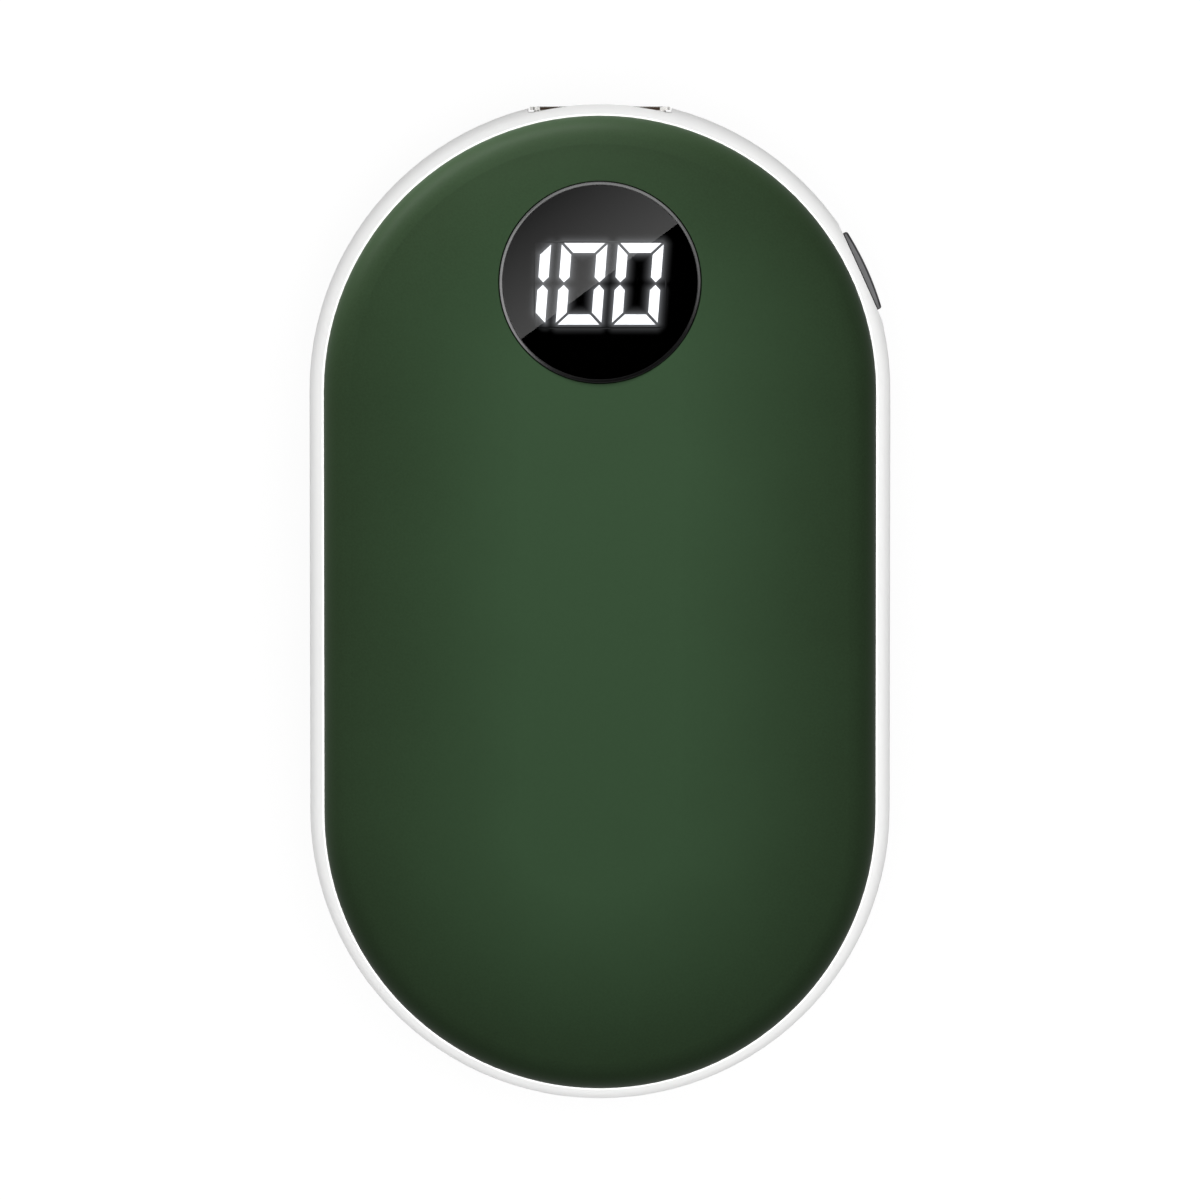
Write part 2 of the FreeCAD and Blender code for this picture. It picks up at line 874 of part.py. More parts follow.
def segment_solids(bars):
    """Prisms for (digit, bar) pairs, leaned by the digit slant and flush with the module's top."""
    lean = math.tan(math.radians(given.digit_slant.value))
    depth = given.segment_depth.value
    solids = []
    for digit, name in bars:
        shift = given.digit_pitch.value * (digit - 1) - given.digit_lead.value
        corners = [
            Vector(across + along * lean + shift, along, display_top.value - depth)
            for across, along in segment_outline(name)
        ]
        face = Part.Face(Part.makePolygon(corners + corners[:1]))
        solids.append(face.extrude(Vector(0, 0, depth)))
    return Part.makeCompound(solids)


zero_bars = ("top", "bottom", "upper_right", "upper_left", "lower_right", "lower_left")
lit_bars = [(0, "upper_right"), (0, "lower_right")]
lit_bars += [(digit, name) for digit in (1, 2) for name in zero_bars]
lit_segments = coded("display_segments_lit", segment_solids(lit_bars), display_frame)
unlit_bars = [(digit, "middle") for digit in (1, 2)]
unlit_segments = coded("display_segments_unlit", segment_solids(unlit_bars), display_frame)
housing_block = block(
    "display_housing_block",
    display_frame,
    evenly(display_half),
    evenly(display_half_length),
    (board_high, display_top),
)
display_housing = cut("display_housing", housing_block, [lit_segments, unlit_segments])
gasket_loops = [
    square_loop(evenly(display_half), evenly(display_half_length)),
    square_loop(evenly(display_half - given.gasket_rim), evenly(display_half_length - given.gasket_rim)),
]
display_gasket = plate(
    "display_gasket", display_frame, gasket_loops, display_top, display_top + given.gasket_thickness)
pin_half = given.display_pin / 2
pin_along = given.display_pin_inset - display_half_length
pins = []
for number in range(PIN_COUNT):
    across = given.display_pin_pitch * (number - (PIN_COUNT - 1) / 2)
    pins.append(block(
        f"display_pin_{number}",
        display_frame,
        (across - pin_half, across + pin_half),
        (pin_along - pin_half, pin_along + pin_half),
        (board_low - given.display_pin_tail, board_high),
    ))
display_pins = grouped("display_pins", pins)

# Power button: a pill cap trimmed to follow the band, a flange that keeps it in and a post on the switch
flange_out = root(square(frame_inside) - square(given.button_flange_length / 2)) - given.button_flange_gap
flange_in = flange_out - given.button_flange_thickness
plunger_tip = flange_in - given.button_post_length
cap_radius = given.band_side_radius + given.button_proud
power_button = outward_bar(
    "power_button", pill_loop(button_half, button_radius), flange_out, crown_radius + given.overrun)
trim_edge = arc_centre + root(square(cap_radius) - square(given.button_height))
trim_far = crown_radius + given.overrun * 2
trim_loop = [
    (trim_edge, -given.button_height, (arc_centre, zero)),
    (trim_edge, given.button_height),
    (trim_far, given.button_height),
    (trim_far, -given.button_height),
]
trim_sketch = sketch_on(power_button, "XZ_Plane", zero, [trim_loop])
cap_trim = power_button.newObject("PartDesign::Groove", "button_cap_trim")
cap_trim.Profile = trim_sketch
cap_trim.ReferenceAxis = (trim_sketch, ["V_Axis"])
cap_trim.Angle = quarter_turn
cap_trim.Midplane = True
doc.recompute()
crown_face = max(cap_trim.Shape.Faces, key=lambda face: face.CenterOfMass.x)
rim_names = [
    f"Edge{number}"
    for number, edge in enumerate(cap_trim.Shape.Edges, start=1)
    if any(edge.isSame(rim) for rim in crown_face.Edges)
]
cap_edge = power_button.newObject("PartDesign::Fillet", "button_cap_edge")
cap_edge.Base = (cap_trim, rim_names)
bind(cap_edge, "Radius", given.button_edge)
flange_loop = square_loop(evenly(given.button_flange_length / 2), evenly(given.button_flange_height / 2))
pad(power_button, sketch_on(power_button, "YZ_Plane", flange_in, [flange_loop]), given.button_flange_thickness)
post_loop = square_loop(evenly(given.button_post_width / 2), evenly(given.button_post_height / 2))
pad(power_button, sketch_on(power_button, "YZ_Plane", plunger_tip, [post_loop]), given.button_post_length)

# Side switch: housing with a cavity, and the plunger that slides in it
switch_front = plunger_tip - given.plunger_reach
wall_back = switch_front - given.switch_wall
plunger_half = given.plunger_width / 2
plunger_rise = given.plunger_height / 2
flange_side = plunger_half + given.plunger_flange
flange_rise = plunger_rise + given.plunger_flange
switch_block = block(
    "switch_block",
    button_frame,
    (switch_front - given.switch_depth, switch_front),
    evenly(given.switch_width / 2),
    (board_low - given.switch_height, board_low),
)
switch_cavity = block(
    "switch_cavity",
    button_frame,
    (wall_back - given.switch_cavity_depth, wall_back),
    evenly(flange_side + given.plunger_side_room),
    evenly(flange_rise + given.plunger_side_room),
)
switch_slot = block(
    "switch_slot",
    button_frame,
    (wall_back - given.plunger_flange, switch_front + given.overrun),
    evenly(plunger_half + given.plunger_clearance),
    evenly(plunger_rise + given.plunger_clearance),
)
switch_housing = cut("switch_housing", switch_block, [switch_cavity, switch_slot])
keep_front = wall_back - given.plunger_clearance
keep_back = keep_front - given.plunger_flange_thickness
plunger_stem = block(
    "plunger_stem", button_frame, (keep_back, plunger_tip), evenly(plunger_half), evenly(plunger_rise))
plunger_keep = block(
    "plunger_keep", button_frame, (keep_back, keep_front), evenly(flange_side), evenly(flange_rise))
switch_plunger = fused("switch_plunger", [plunger_stem, plunger_keep])

# USB-A socket: drawn shell with a flange, insulator with its tongue, and four contacts
inside_half = usb_a_half - given.usb_a_sheet
inside_rise = board_low - given.usb_a_sheet
inside_corner = given.usb_a_corner - given.usb_a_sheet
shell_inside = rounded_loop(evenly(inside_half), evenly(inside_rise), inside_corner)
shell_outside = rounded_loop(evenly(usb_a_half), evenly(board_low), given.usb_a_corner)
flange_outside = rounded_loop(evenly(flange_half), evenly(flange_half_height), given.usb_a_corner)
shell_tube = bar("usb_a_tube", core, [shell_outside, shell_inside], mouth_y, given.usb_a_depth)
shell_flange = bar("usb_a_flange", core, [flange_outside, shell_inside], mouth_y, given.usb_a_sheet)
usb_a_shell = fused("usb_a_shell", [shell_tube, shell_flange])
usb_a_back = mouth_y - given.usb_a_depth
tongue_tip = mouth_y - given.usb_a_tongue_recess
block_front = usb_a_back + given.usb_a_block_depth
block_loop = rounded_loop(
    evenly(inside_half - given.socket_fill_gap), evenly(inside_rise - given.socket_fill_gap), inside_corner)
usb_a_block = bar("usb_a_block", core, [block_loop], block_front, given.usb_a_block_depth)
usb_a_tongue = block(
    "usb_a_tongue",
    core,
    evenly(inside_half - given.usb_a_tongue_side_gap),
    (block_front - given.weld, tongue_tip),
    (zero, given.usb_a_tongue_thickness),
)
contact_half = given.usb_a_contact_width / 2
contact_end = usb_a_back - given.usb_a_contact_set_back
contacts = []
for number, across in enumerate((
        -given.usb_a_contact_outer,
        -given.usb_a_contact_inner,
        given.usb_a_contact_inner,
        given.usb_a_contact_outer)):
    span = (across - contact_half, across + contact_half)
    strip = block(
        f"usb_a_strip_{number}",
        core,
        span,
        (contact_end, tongue_tip - given.usb_a_contact_set_back),
        (-given.usb_a_contact_sheet, zero),
    )
    tail = block(
        f"usb_a_tail_{number}",
        core,
        span,
        (contact_end, contact_end + given.usb_a_contact_sheet),
        (-given.usb_a_contact_sheet, board_low),
    )
    contacts.append(fused(f"usb_a_contact_{number}", [strip, tail]))
usb_a_contacts = grouped("usb_a_contacts", contacts)
usb_a_insulator = cut("usb_a_insulator", fused("usb_a_moulding", [usb_a_block, usb_a_tongue]), contacts)

# USB-C socket set in a notch of the charge board
usb_c_mouth = given.usb_c_recess - given.body_length / 2
usb_c_back = usb_c_mouth + given.usb_c_depth
usb_c_inside = usb_c_radius - given.usb_c_sheet
usb_c_tube = bar(
    "usb_c_tube",
    core,
    [pill_loop(usb_c_half, usb_c_radius), pill_loop(usb_c_half - given.usb_c_sheet, usb_c_inside)],
    usb_c_back,
    given.usb_c_depth,
)
wing_start = usb_c_mouth + given.usb_c_wing_inset
usb_c_wings = []
for side in (-1, 1):
    reach = (usb_c_half - given.usb_c_sheet, usb_c_half + given.usb_c_wing_reach)
    if side < 0:
        reach = (-reach[1], -reach[0])
    usb_c_wings.append(block(
        f"usb_c_wing_{side + 1}",
        core,
        reach,
        (wing_start, wing_start + given.usb_c_wing_length),
        (charge_high, charge_high + given.usb_c_wing_sheet),
    ))
usb_c_shell = fused("usb_c_shell", [usb_c_tube] + usb_c_wings)
usb_c_block_front = usb_c_back - given.usb_c_block_depth
usb_c_fill = usb_c_inside - given.socket_fill_gap
usb_c_block = bar(
    "usb_c_block",
    core,
    [pill_loop(usb_c_half - given.usb_c_sheet - given.socket_fill_gap, usb_c_fill)],
    usb_c_back,
    given.usb_c_block_depth,
)
usb_c_tongue_tip = usb_c_mouth + given.usb_c_tongue_recess
usb_c_tongue = block(
    "usb_c_tongue",
    core,
    evenly(given.usb_c_tongue_width / 2),
    (usb_c_tongue_tip, usb_c_block_front + given.weld),
    (charge_low, charge_high),
)
fine_half = given.usb_c_contact_width / 2
fine_contacts = []
for number in range(USB_C_CONTACT_COUNT):
    across = given.usb_c_contact_pitch * (number - (USB_C_CONTACT_COUNT - 1) / 2)
    fine_contacts.append(block(
        f"usb_c_strip_{number}",
        core,
        (across - fine_half, across + fine_half),
        (usb_c_tongue_tip + given.usb_c_contact_set_back, usb_c_back + given.usb_c_contact_tail),
        (charge_high, charge_high + given.usb_c_contact_sheet),
    ))
usb_c_contacts = grouped("usb_c_contacts", fine_contacts)
usb_c_insulator = cut("usb_c_insulator", fused("usb_c_moulding", [usb_c_block, usb_c_tongue]), fine_contacts)

# Main board and charge board
board_radius = spigot_inside - given.board_edge_gap
board_corner = root(square(board_radius) - square(board_edge - end_y))
board_round = (zero, end_y)
board_loop = [
    (board_corner, board_edge, board_round),
    (zero, end_y + board_radius, board_round),
    (-board_corner, board_edge),
]


def screw_holes(seats):
    return [frame.point(across, zero, zero)[:2] + (through_radius,) for frame, across, wall in seats]


board_plate = plate("board_plate", core, [board_loop], board_low, board_high, screw_holes(board_seats))
main_board = cut("main_board", board_plate, pins)
notch_half = usb_c_half + given.charge_board_notch_gap
notch_end = usb_c_back + given.charge_board_notch_gap
charge_half = charge_boss_x + given.charge_board_side_margin
nose_half = usb_c_half + given.usb_c_wing_reach + given.charge_board_nose_margin
nose_end = usb_c_mouth + given.charge_board_nose_inset
right_side = [
    (charge_half, charge_inner),
    (charge_half, charge_boss_y - given.charge_board_outer_margin),
    (nose_half, nose_end),
    (notch_half, nose_end),
    (notch_half, notch_end),
]
charge_loop = right_side + [(-across, along) for across, along in reversed(right_side)]
charge_board = plate(
    "charge_board", core, [charge_loop], charge_low, charge_high, screw_holes(charge_seats))

# Parts soldered to the main board, beside the display on top and beside the USB-A socket underneath
parts_y = board_edge + given.part_inset


def board_part(name, across, along, half_across, half_along, levels):
    return block(
        name,
        core,
        (across - half_across, across + half_across),
        (along - half_along, along + half_along),
        levels,
    )


controller_half = given.controller_side / 2
charger_half = given.charger_side / 2
controller_chip = board_part(
    "controller_chip",
    -(display_half + given.part_gap + controller_half),
    parts_y,
    controller_half,
    controller_half,
    (board_high, board_high + given.chip_height),
)
charger_chip = board_part(
    "charger_chip",
    -(usb_a_half + given.part_gap + charger_half),
    parts_y,
    charger_half,
    charger_half,
    (board_low - given.chip_height, board_low),
)
inductor_half = given.inductor_side / 2
inductor_flat = inductor_half - given.inductor_chamfer
inductor_frame = Frame((display_half + given.part_gap + inductor_half, parts_y, mid))
inductor_loop = [
    (inductor_half, -inductor_flat),
    (inductor_half, inductor_flat),
    (inductor_flat, inductor_half),
    (-inductor_flat, inductor_half),
    (-inductor_half, inductor_flat),
    (-inductor_half, -inductor_flat),
    (-inductor_flat, -inductor_half),
    (inductor_flat, -inductor_half),
]
boost_inductor = plate(
    "boost_inductor", inductor_frame, [inductor_loop], board_high, board_high + given.inductor_height)
capacitors = []
for number in range(CAPACITOR_COUNT):
    capacitors.append(board_part(
        f"capacitor_{number}",
        given.capacitor_pitch * (number - (CAPACITOR_COUNT - 1) / 2),
        board_edge + given.capacitor_inset,
        given.capacitor_length / 2,
        given.capacitor_width / 2,
        (board_low - given.capacitor_width, board_low),
    ))
chip_capacitors = grouped("chip_capacitors", capacitors)

# Battery pouch, its protection board, tabs and tape
pouch = plate(
    "battery_pouch",
    core,
    [square_loop(evenly(battery_half), (battery_low, battery_high))],
    -battery_top,
    battery_top,
)
doc.recompute()
pouch_pad = pouch.Tip
pouch_edges = pouch.newObject("PartDesign::Fillet", "battery_pouch_edges")
pouch_edges.Base = (pouch_pad, ["Edge1"])
pouch_edges.UseAllEdges = True
bind(pouch_edges, "Radius", given.battery_edge)
terrace_half = given.terrace_thickness / 2
terrace = block(
    "battery_terrace",
    core,
    evenly(battery_half - given.terrace_side_inset),
    (battery_high - given.weld, terrace_end),
    evenly(terrace_half),
)
battery_cell = fused("battery_cell", [pouch, terrace])
protection_top = terrace_half + given.protection_thickness
protection_y = battery_high + given.terrace_length / 2
protection_half = given.protection_length / 2
battery_protection_board = block(
    "battery_protection_board",
    core,
    evenly(battery_half - given.protection_side_inset),
    (protection_y - protection_half, protection_y + protection_half),
    (terrace_half, protection_top),
)
tabs = []
for side in (-1, 1):
    across = given.tab_across * side
    tabs.append(block(
        f"battery_tab_{side + 1}",
        core,
        (across - given.tab_width / 2, across + given.tab_width / 2),
        (battery_high, protection_y),
        (protection_top, protection_top + given.tab_sheet),
    ))
battery_tabs = grouped("battery_tabs", tabs)
floor_top = -(battery_top + given.tape_thickness)
battery_tape = block(
    "battery_tape",
    core,
    evenly(battery_half - given.tape_inset),
    (battery_low + given.tape_inset, battery_high - given.tape_inset),
    (floor_top, -battery_top),
)

# Battery tray with four screwed ears
floor_low = floor_top - given.tray_floor
tray_box = plate(
    "tray_box",
    core,
    [rounded_loop(evenly(tray_half), (tray_low, tray_high), given.tray_corner)],
    floor_low,
    given.ear_thickness,
)
tray_hollow = rounded_loop(
    evenly(tray_half - given.tray_wall),
    (tray_low + given.tray_wall, tray_high - given.tray_wall),
    given.tray_corner - given.tray_wall,
)
tray_sketch = sketch_on(tray_box, "XY_Plane", given.ear_thickness, [tray_hollow])
pocket(tray_box, tray_sketch, given.ear_thickness - floor_top)
ears = []
ear_holes = []
for side in (-1, 1):
    for end, along in enumerate(ear_places):
        name = f"tray_ear_{(side + 1) + end}"
        span = (tray_half - given.weld, ear_across + given.boss_radius)
        if side < 0:
            span = (-span[1], -span[0])
        width = (along - given.ear_length / 2, along + given.ear_length / 2)
        ears.append(block(name, core, span, width, (zero, given.ear_thickness)))
        hole = (-given.overrun, given.overrun)
        ear_holes.append(cylinder(f"{name}_hole", core, ear_across * side, along, hole, through_radius))
battery_tray = cut("battery_tray", fused("tray_blank", [tray_box] + ears), ear_holes)

# Heater films, their traces and the insulation pads
film_outer = given.cover_wall + given.film_adhesive
film_inner = film_outer + given.film_thickness
trace_face = film_inner + given.trace_thickness
film_low = given.film_end_gap - end_y
film_high = smaller(-film_low, lens_y - seat_radius - given.film_lens_gap)
film_length = film_high - film_low
film_half = spigot_inside - given.film_side_gap


def strip_loop(half_width, outer, inner):
    """A strip that follows the inside of a cover between two depths."""
    right = [
        (flat_half, crown_top - outer, (flat_half, crown_arc_level)),
        (half_width, crown_level(half_width, outer)),
        (half_width, crown_level(half_width, inner), (flat_half, crown_arc_level)),
        (flat_half, crown_top - inner),
    ]
    left = [
        (-flat_half, crown_top - inner, (-flat_half, crown_arc_level)),
        (-half_width, crown_level(half_width, inner)),
        (-half_width, crown_level(half_width, outer), (-flat_half, crown_arc_level)),
        (-flat_half, crown_top - outer),
    ]
    return right + left


def pad_loop(half_width, base):
    """Insulation with a flat base and a face that follows the heater film."""
    centre = crown_arc_level
    return [
        (-half_width, base),
        (half_width, base),
        (half_width, crown_level(half_width, trace_face), (flat_half, centre)),
        (flat_half, crown_top - trace_face),
        (-flat_half, crown_top - trace_face, (-flat_half, centre)),
        (-half_width, crown_level(half_width, trace_face)),
    ]


def trace_solid(side):
    """A serpentine foil on the flat part of a film, with both ends towards the main board."""
    width = given.trace_width.value
    pitch = given.trace_pitch.value
    low = (film_low + given.trace_end_gap).value
    high = (film_high - given.trace_end_gap).value
    thickness = given.trace_thickness.value
    level = (crown_top - film_inner).value - thickness
    first = -pitch * (TRACE_RUNS - 1) / 2
    pieces = []
    for number in range(TRACE_RUNS):
        left = first + pitch * number - width / 2
        far = film_high.value if number in (0, TRACE_RUNS - 1) else high
        pieces.append(Part.makeBox(width, far - low, thickness, Vector(left, low, level)))
        if number < TRACE_RUNS - 1:
            along = low if number % 2 == 0 else high - width
            pieces.append(Part.makeBox(pitch + width, width, thickness, Vector(left, along, level)))
    solid = pieces[0].fuse(pieces[1:]).removeSplitter()
    if side < 0:
        solid = solid.mirror(Vector(0, 0, 0), Vector(0, 0, 1))
    return solid


pad_half = film_half - given.pad_side_gap
pad_end = film_high - given.pad_high_gap
pad_length = pad_end - film_low - given.pad_low_gap
film_loop = strip_loop(film_half, film_outer, film_inner)
front_heater_film = bar("front_heater_film", core, [film_loop], film_high, film_length)
back_heater_film = bar("back_heater_film", core, [flipped(film_loop, -1)], film_high, film_length)
front_heater_trace = coded("front_heater_trace", trace_solid(1), core)
back_heater_trace = coded("back_heater_trace", trace_solid(-1), core)
front_pad_loop = pad_loop(pad_half, battery_top)
back_pad_loop = flipped(pad_loop(pad_half, -floor_low), -1)
front_insulation_pad = bar("front_insulation_pad", core, [front_pad_loop], pad_end, pad_length)
back_insulation_pad = bar("back_insulation_pad", core, [back_pad_loop], pad_end, pad_length)

# Thermistors glued to the films
bead_depth = film_inner + given.film_adhesive + given.thermistor_radius
thermistor_across = film_half - given.thermistor_inset
bead_level_up = crown_level(thermistor_across, bead_depth)
bead_end = given.thermistor_length / 2


def thermistor(name, side):
    frame = Frame((thermistor_across, -bead_end, mid + bead_level_up * side), "tipped", as_size(quarter_turn))
    return cylinder(name, frame, zero, zero, (zero, given.thermistor_length), given.thermistor_radius)


front_thermistor = thermistor("front_thermistor", 1)
back_thermistor = thermistor("back_thermistor", -1)


# Leads inside the case
def lead_solid(route, bends):
    """A round lead along straight runs joined by tangent arcs."""
    points = [spot(point) for point in route]
    edges = []
    start = points[0]
    for before, corner, after, bend in zip(points, points[1:], points[2:], bends):
        arriving = (corner - before).normalize()
        leaving = (after - corner).normalize()
        angle = arriving.getAngle(leaving)
        reach = bend.value * math.tan(angle / 2)
        arc_start = corner - arriving * reach
        arc_end = corner + leaving * reach
        inward = (leaving - arriving).normalize()
        rise = bend.value / math.cos(angle / 2) - bend.value
        edges.append(Part.LineSegment(start, arc_start).toShape())
        edges.append(Part.Arc(arc_start, corner + inward * rise, arc_end).toShape())
        start = arc_end
    edges.append(Part.LineSegment(start, points[-1]).toShape())
    circle = Part.Circle(points[0], points[1] - points[0], given.lead_radius.value).toShape()
    return Part.Wire(edges).makePipeShell([Part.Wire([circle])], True, False)


def lead(name, routes, bends):
    solids = [lead_solid(route, bends) for route in routes]
    return coded(name, solids[0] if len(solids) == 1 else Part.makeCompound(solids), core)


lead_level = board_high + given.lead_rise
board_pad_y = board_edge + given.board_pad_inset
tight = (given.lead_bend, given.lead_bend)
heater_lead_across = given.trace_pitch * (TRACE_RUNS - 1) / 2
battery_lead_across = (heater_lead_across + thermistor_across) / 2


def battery_lead(name, side):
    across = battery_lead_across * side
    route = [
        (across, protection_y, protection_top),
        (across, protection_y, lead_level),
        (across, board_pad_y, lead_level),
        (across, board_pad_y, board_high),
    ]
    return lead(name, [route], tight)


def charge_lead(name, side):
    start_y = charge_inner - given.charge_lead_inset
    side_across = battery_half + given.lead_side
    plan = [
        (given.charge_lead_across, start_y),
        (battery_half - given.lead_corner_across, battery_low - given.lead_corner_along),
        (battery_half + given.lead_shoulder_across, battery_low + given.lead_shoulder_along),
        (side_across, battery_low + given.lead_shoulder_run),
        (side_across, board_pad_y),
    ]
    route = [(across * side, along, lead_level) for across, along in plan]
    route.insert(0, (route[0][0], route[0][1], charge_high))
    route.append((route[-1][0], route[-1][1], board_high))
    turn = given.lead_turn
    return lead(name, [route], (given.lead_bend, turn, turn, turn, given.lead_bend))


def heater_leads(name, side, board_face, floor):
    """Two leads that run to the board halfway between the trace and the battery's side of the gap."""
    start = (crown_top - trace_face) * side
    run = (start + floor) / 2
    start_y = film_high - given.heater_lead_start
    routes = []
    for end in (-1, 1):
        routes.append([
            (heater_lead_across * end, start_y, start),
            (heater_lead_across * end, start_y, run),
            (heater_lead_across * end, board_pad_y, run),
            (heater_lead_across * end, board_pad_y, board_face),
        ])
    return lead(name, routes, tight)


def thermistor_lead(name, side, board_face):
    level = bead_level_up * side
    route = [
        (thermistor_across, bead_end, level),
        (thermistor_across, board_pad_y, level),
        (thermistor_across, board_pad_y, board_face),
    ]
    return lead(name, [route], (given.lead_turn,))


battery_lead_positive = battery_lead("battery_lead_positive", -1)
battery_lead_negative = battery_lead("battery_lead_negative", 1)
charge_lead_positive = charge_lead("charge_lead_positive", 1)
charge_lead_negative = charge_lead("charge_lead_negative", -1)
front_heater_leads = heater_leads("front_heater_leads", 1, board_high, battery_top)
back_heater_leads = heater_leads("back_heater_leads", -1, board_low, floor_low)
front_thermistor_lead = thermistor_lead("front_thermistor_lead", 1, board_high)
back_thermistor_lead = thermistor_lead("back_thermistor_lead", -1, board_low)


# Screws: one pattern for the boards and the tray
def screw(name, frame, across, along, level):
    head = cylinder(
        f"{name}_head", frame, across, along, (level, level + given.screw_head_height), head_radius)
    shank = cylinder(f"{name}_shank", frame, across, along, (level - given.screw_length, level), shank_radius)
    slot_half = given.screw_slot_length / 2
    slot_side = given.screw_slot_width / 2
    floor = level + given.screw_head_height - given.screw_slot_depth
    depth = (floor, level + given.screw_head_height + given.overrun)
    slots = []
    for number, (reach, side) in enumerate(((slot_half, slot_side), (slot_side, slot_half))):
        slots.append(block(
            f"{name}_slot_{number}",
            frame,
            (across - reach, across + reach),
            (along - side, along + side),
            depth,
        ))
    return cut(name, fused(f"{name}_blank", [head, shank]), slots)


case_screws = grouped("case_screws", [screw(f"screw_{number}", *seat) for number, seat in enumerate(screws)])

# Finished pieces, each written to its own file
nodes = {
    "front_cover": front_cover,
    "back_cover": back_cover,
    "middle_frame": middle_frame,
    "display_lens": lens_body,
    "lens_adhesive": lens_adhesive,
    "display_gasket": display_gasket,
    "display_housing": display_housing,
    "display_segments_lit": lit_segments,
    "display_segments_unlit": unlit_segments,
    "display_pins": display_pins,
    "power_button": power_button,
    "switch_housing": switch_housing,
    "switch_plunger": switch_plunger,
    "usb_a_shell": usb_a_shell,
    "usb_a_insulator": usb_a_insulator,
    "usb_a_contacts": usb_a_contacts,
    "usb_c_shell": usb_c_shell,
    "usb_c_insulator": usb_c_insulator,
    "usb_c_contacts": usb_c_contacts,
    "main_board": main_board,
    "charge_board": charge_board,
    "controller_chip": controller_chip,
    "charger_chip": charger_chip,
    "boost_inductor": boost_inductor,
    "chip_capacitors": chip_capacitors,
    "battery_cell": battery_cell,
    "battery_protection_board": battery_protection_board,
    "battery_tabs": battery_tabs,
    "battery_tape": battery_tape,
    "battery_tray": battery_tray,
    "front_heater_film": front_heater_film,
    "front_heater_trace": front_heater_trace,
    "back_heater_film": back_heater_film,
    "back_heater_trace": back_heater_trace,
    "front_insulation_pad": front_insulation_pad,
    "back_insulation_pad": back_insulation_pad,
    "front_thermistor": front_thermistor,
    "back_thermistor": back_thermistor,
    "front_thermistor_lead": front_thermistor_lead,
    "back_thermistor_lead": back_thermistor_lead,
    "battery_lead_positive": battery_lead_positive,
    "battery_lead_negative": battery_lead_negative,
    "charge_lead_positive": charge_lead_positive,
    "charge_lead_negative": charge_lead_negative,
    "front_heater_leads": front_heater_leads,
    "back_heater_leads": back_heater_leads,
    "case_screws": case_screws,
}
doc.recompute()
for item in doc.Objects:
    if "Invalid" in item.State or "Error" in item.State:
        raise RuntimeError(f"{item.Name} did not build: {item.State}")
for label, item in nodes.items():
    item.Label = label
    if item.Shape.isNull() or not item.Shape.isValid() or not item.Shape.Solids:
        raise RuntimeError(f"{label} has no valid solid")
os.makedirs("parts", exist_ok=True)
for label, item in nodes.items():
    item.Shape.exportStep(f"parts/{label}.step")
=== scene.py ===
import json
import math

import bmesh
import bpy
import numpy as np
from mathutils import Matrix, Vector
from mathutils.geometry import delaunay_2d_cdt


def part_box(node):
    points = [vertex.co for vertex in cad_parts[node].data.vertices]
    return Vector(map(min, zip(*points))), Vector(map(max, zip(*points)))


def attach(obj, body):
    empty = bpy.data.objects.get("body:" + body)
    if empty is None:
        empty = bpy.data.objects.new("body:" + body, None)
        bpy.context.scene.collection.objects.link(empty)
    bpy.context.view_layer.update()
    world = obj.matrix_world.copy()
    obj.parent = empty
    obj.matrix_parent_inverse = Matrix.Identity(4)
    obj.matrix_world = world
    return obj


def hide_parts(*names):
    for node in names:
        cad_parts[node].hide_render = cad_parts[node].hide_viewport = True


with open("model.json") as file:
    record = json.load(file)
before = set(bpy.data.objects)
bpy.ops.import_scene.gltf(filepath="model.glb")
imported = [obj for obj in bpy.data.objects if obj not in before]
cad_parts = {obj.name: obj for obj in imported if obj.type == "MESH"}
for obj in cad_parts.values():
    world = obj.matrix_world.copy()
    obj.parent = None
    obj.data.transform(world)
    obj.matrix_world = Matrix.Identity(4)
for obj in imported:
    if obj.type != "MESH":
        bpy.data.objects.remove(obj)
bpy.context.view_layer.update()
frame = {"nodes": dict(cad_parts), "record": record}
nodes = frame["nodes"]
scene = bpy.context.scene
scene.view_settings.view_transform = "Standard"
MM = 0.001

# Camera: nearly straight above, leaning a little towards the display end
VIEW_TILT = math.radians(3.4)
VIEW_DISTANCE = 1.0
VIEW_WIDTH = 120 * MM
SENSOR_WIDTH = 36.0
CLIP_NEAR = 0.05
CLIP_FAR = 20.0
AIM = Vector((0.0, -0.01, 12.5)) * MM

camera_data = bpy.data.cameras.new("camera")
camera_data.sensor_width = SENSOR_WIDTH
camera_data.lens = SENSOR_WIDTH * VIEW_DISTANCE / VIEW_WIDTH
camera_data.clip_start = CLIP_NEAR
camera_data.clip_end = CLIP_FAR
camera = bpy.data.objects.new("camera", camera_data)
camera.location = AIM + VIEW_DISTANCE * Vector((0.0, math.sin(VIEW_TILT), math.cos(VIEW_TILT)))
camera.rotation_euler = (-VIEW_TILT, 0.0, 0.0)
scene.collection.objects.link(camera)
scene.camera = camera

# Display lens as the part has it
LENS_CENTRE = Vector((0.0, 32.1, 24.45)) * MM
LENS_TILT = math.radians(5.4)
lens_low, lens_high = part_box("display_lens")
LENS_RADIUS = (lens_high[0] - lens_low[0]) / 2
LENS_THICKNESS = 1.5 * MM
LENS_AXIS = Vector((0.0, math.sin(LENS_TILT), math.cos(LENS_TILT)))

# Studio: a graded card and a softbox overhead with a dark slot between them, a graded sky and a floor
CARD_HEIGHT = 0.6
CARD_LENGTH = 0.6
CARD_WIDTH = 0.3
CARD_DIM = 0.42
CARD_EDGE = 1.6
# Share of the card's width over which it fades from its edge
CARD_FADE = 0.052
SLOT_WIDTH = 0.045
SOFTBOX_WIDTH = 0.3
SOFTBOX_RADIANCE = 1.6
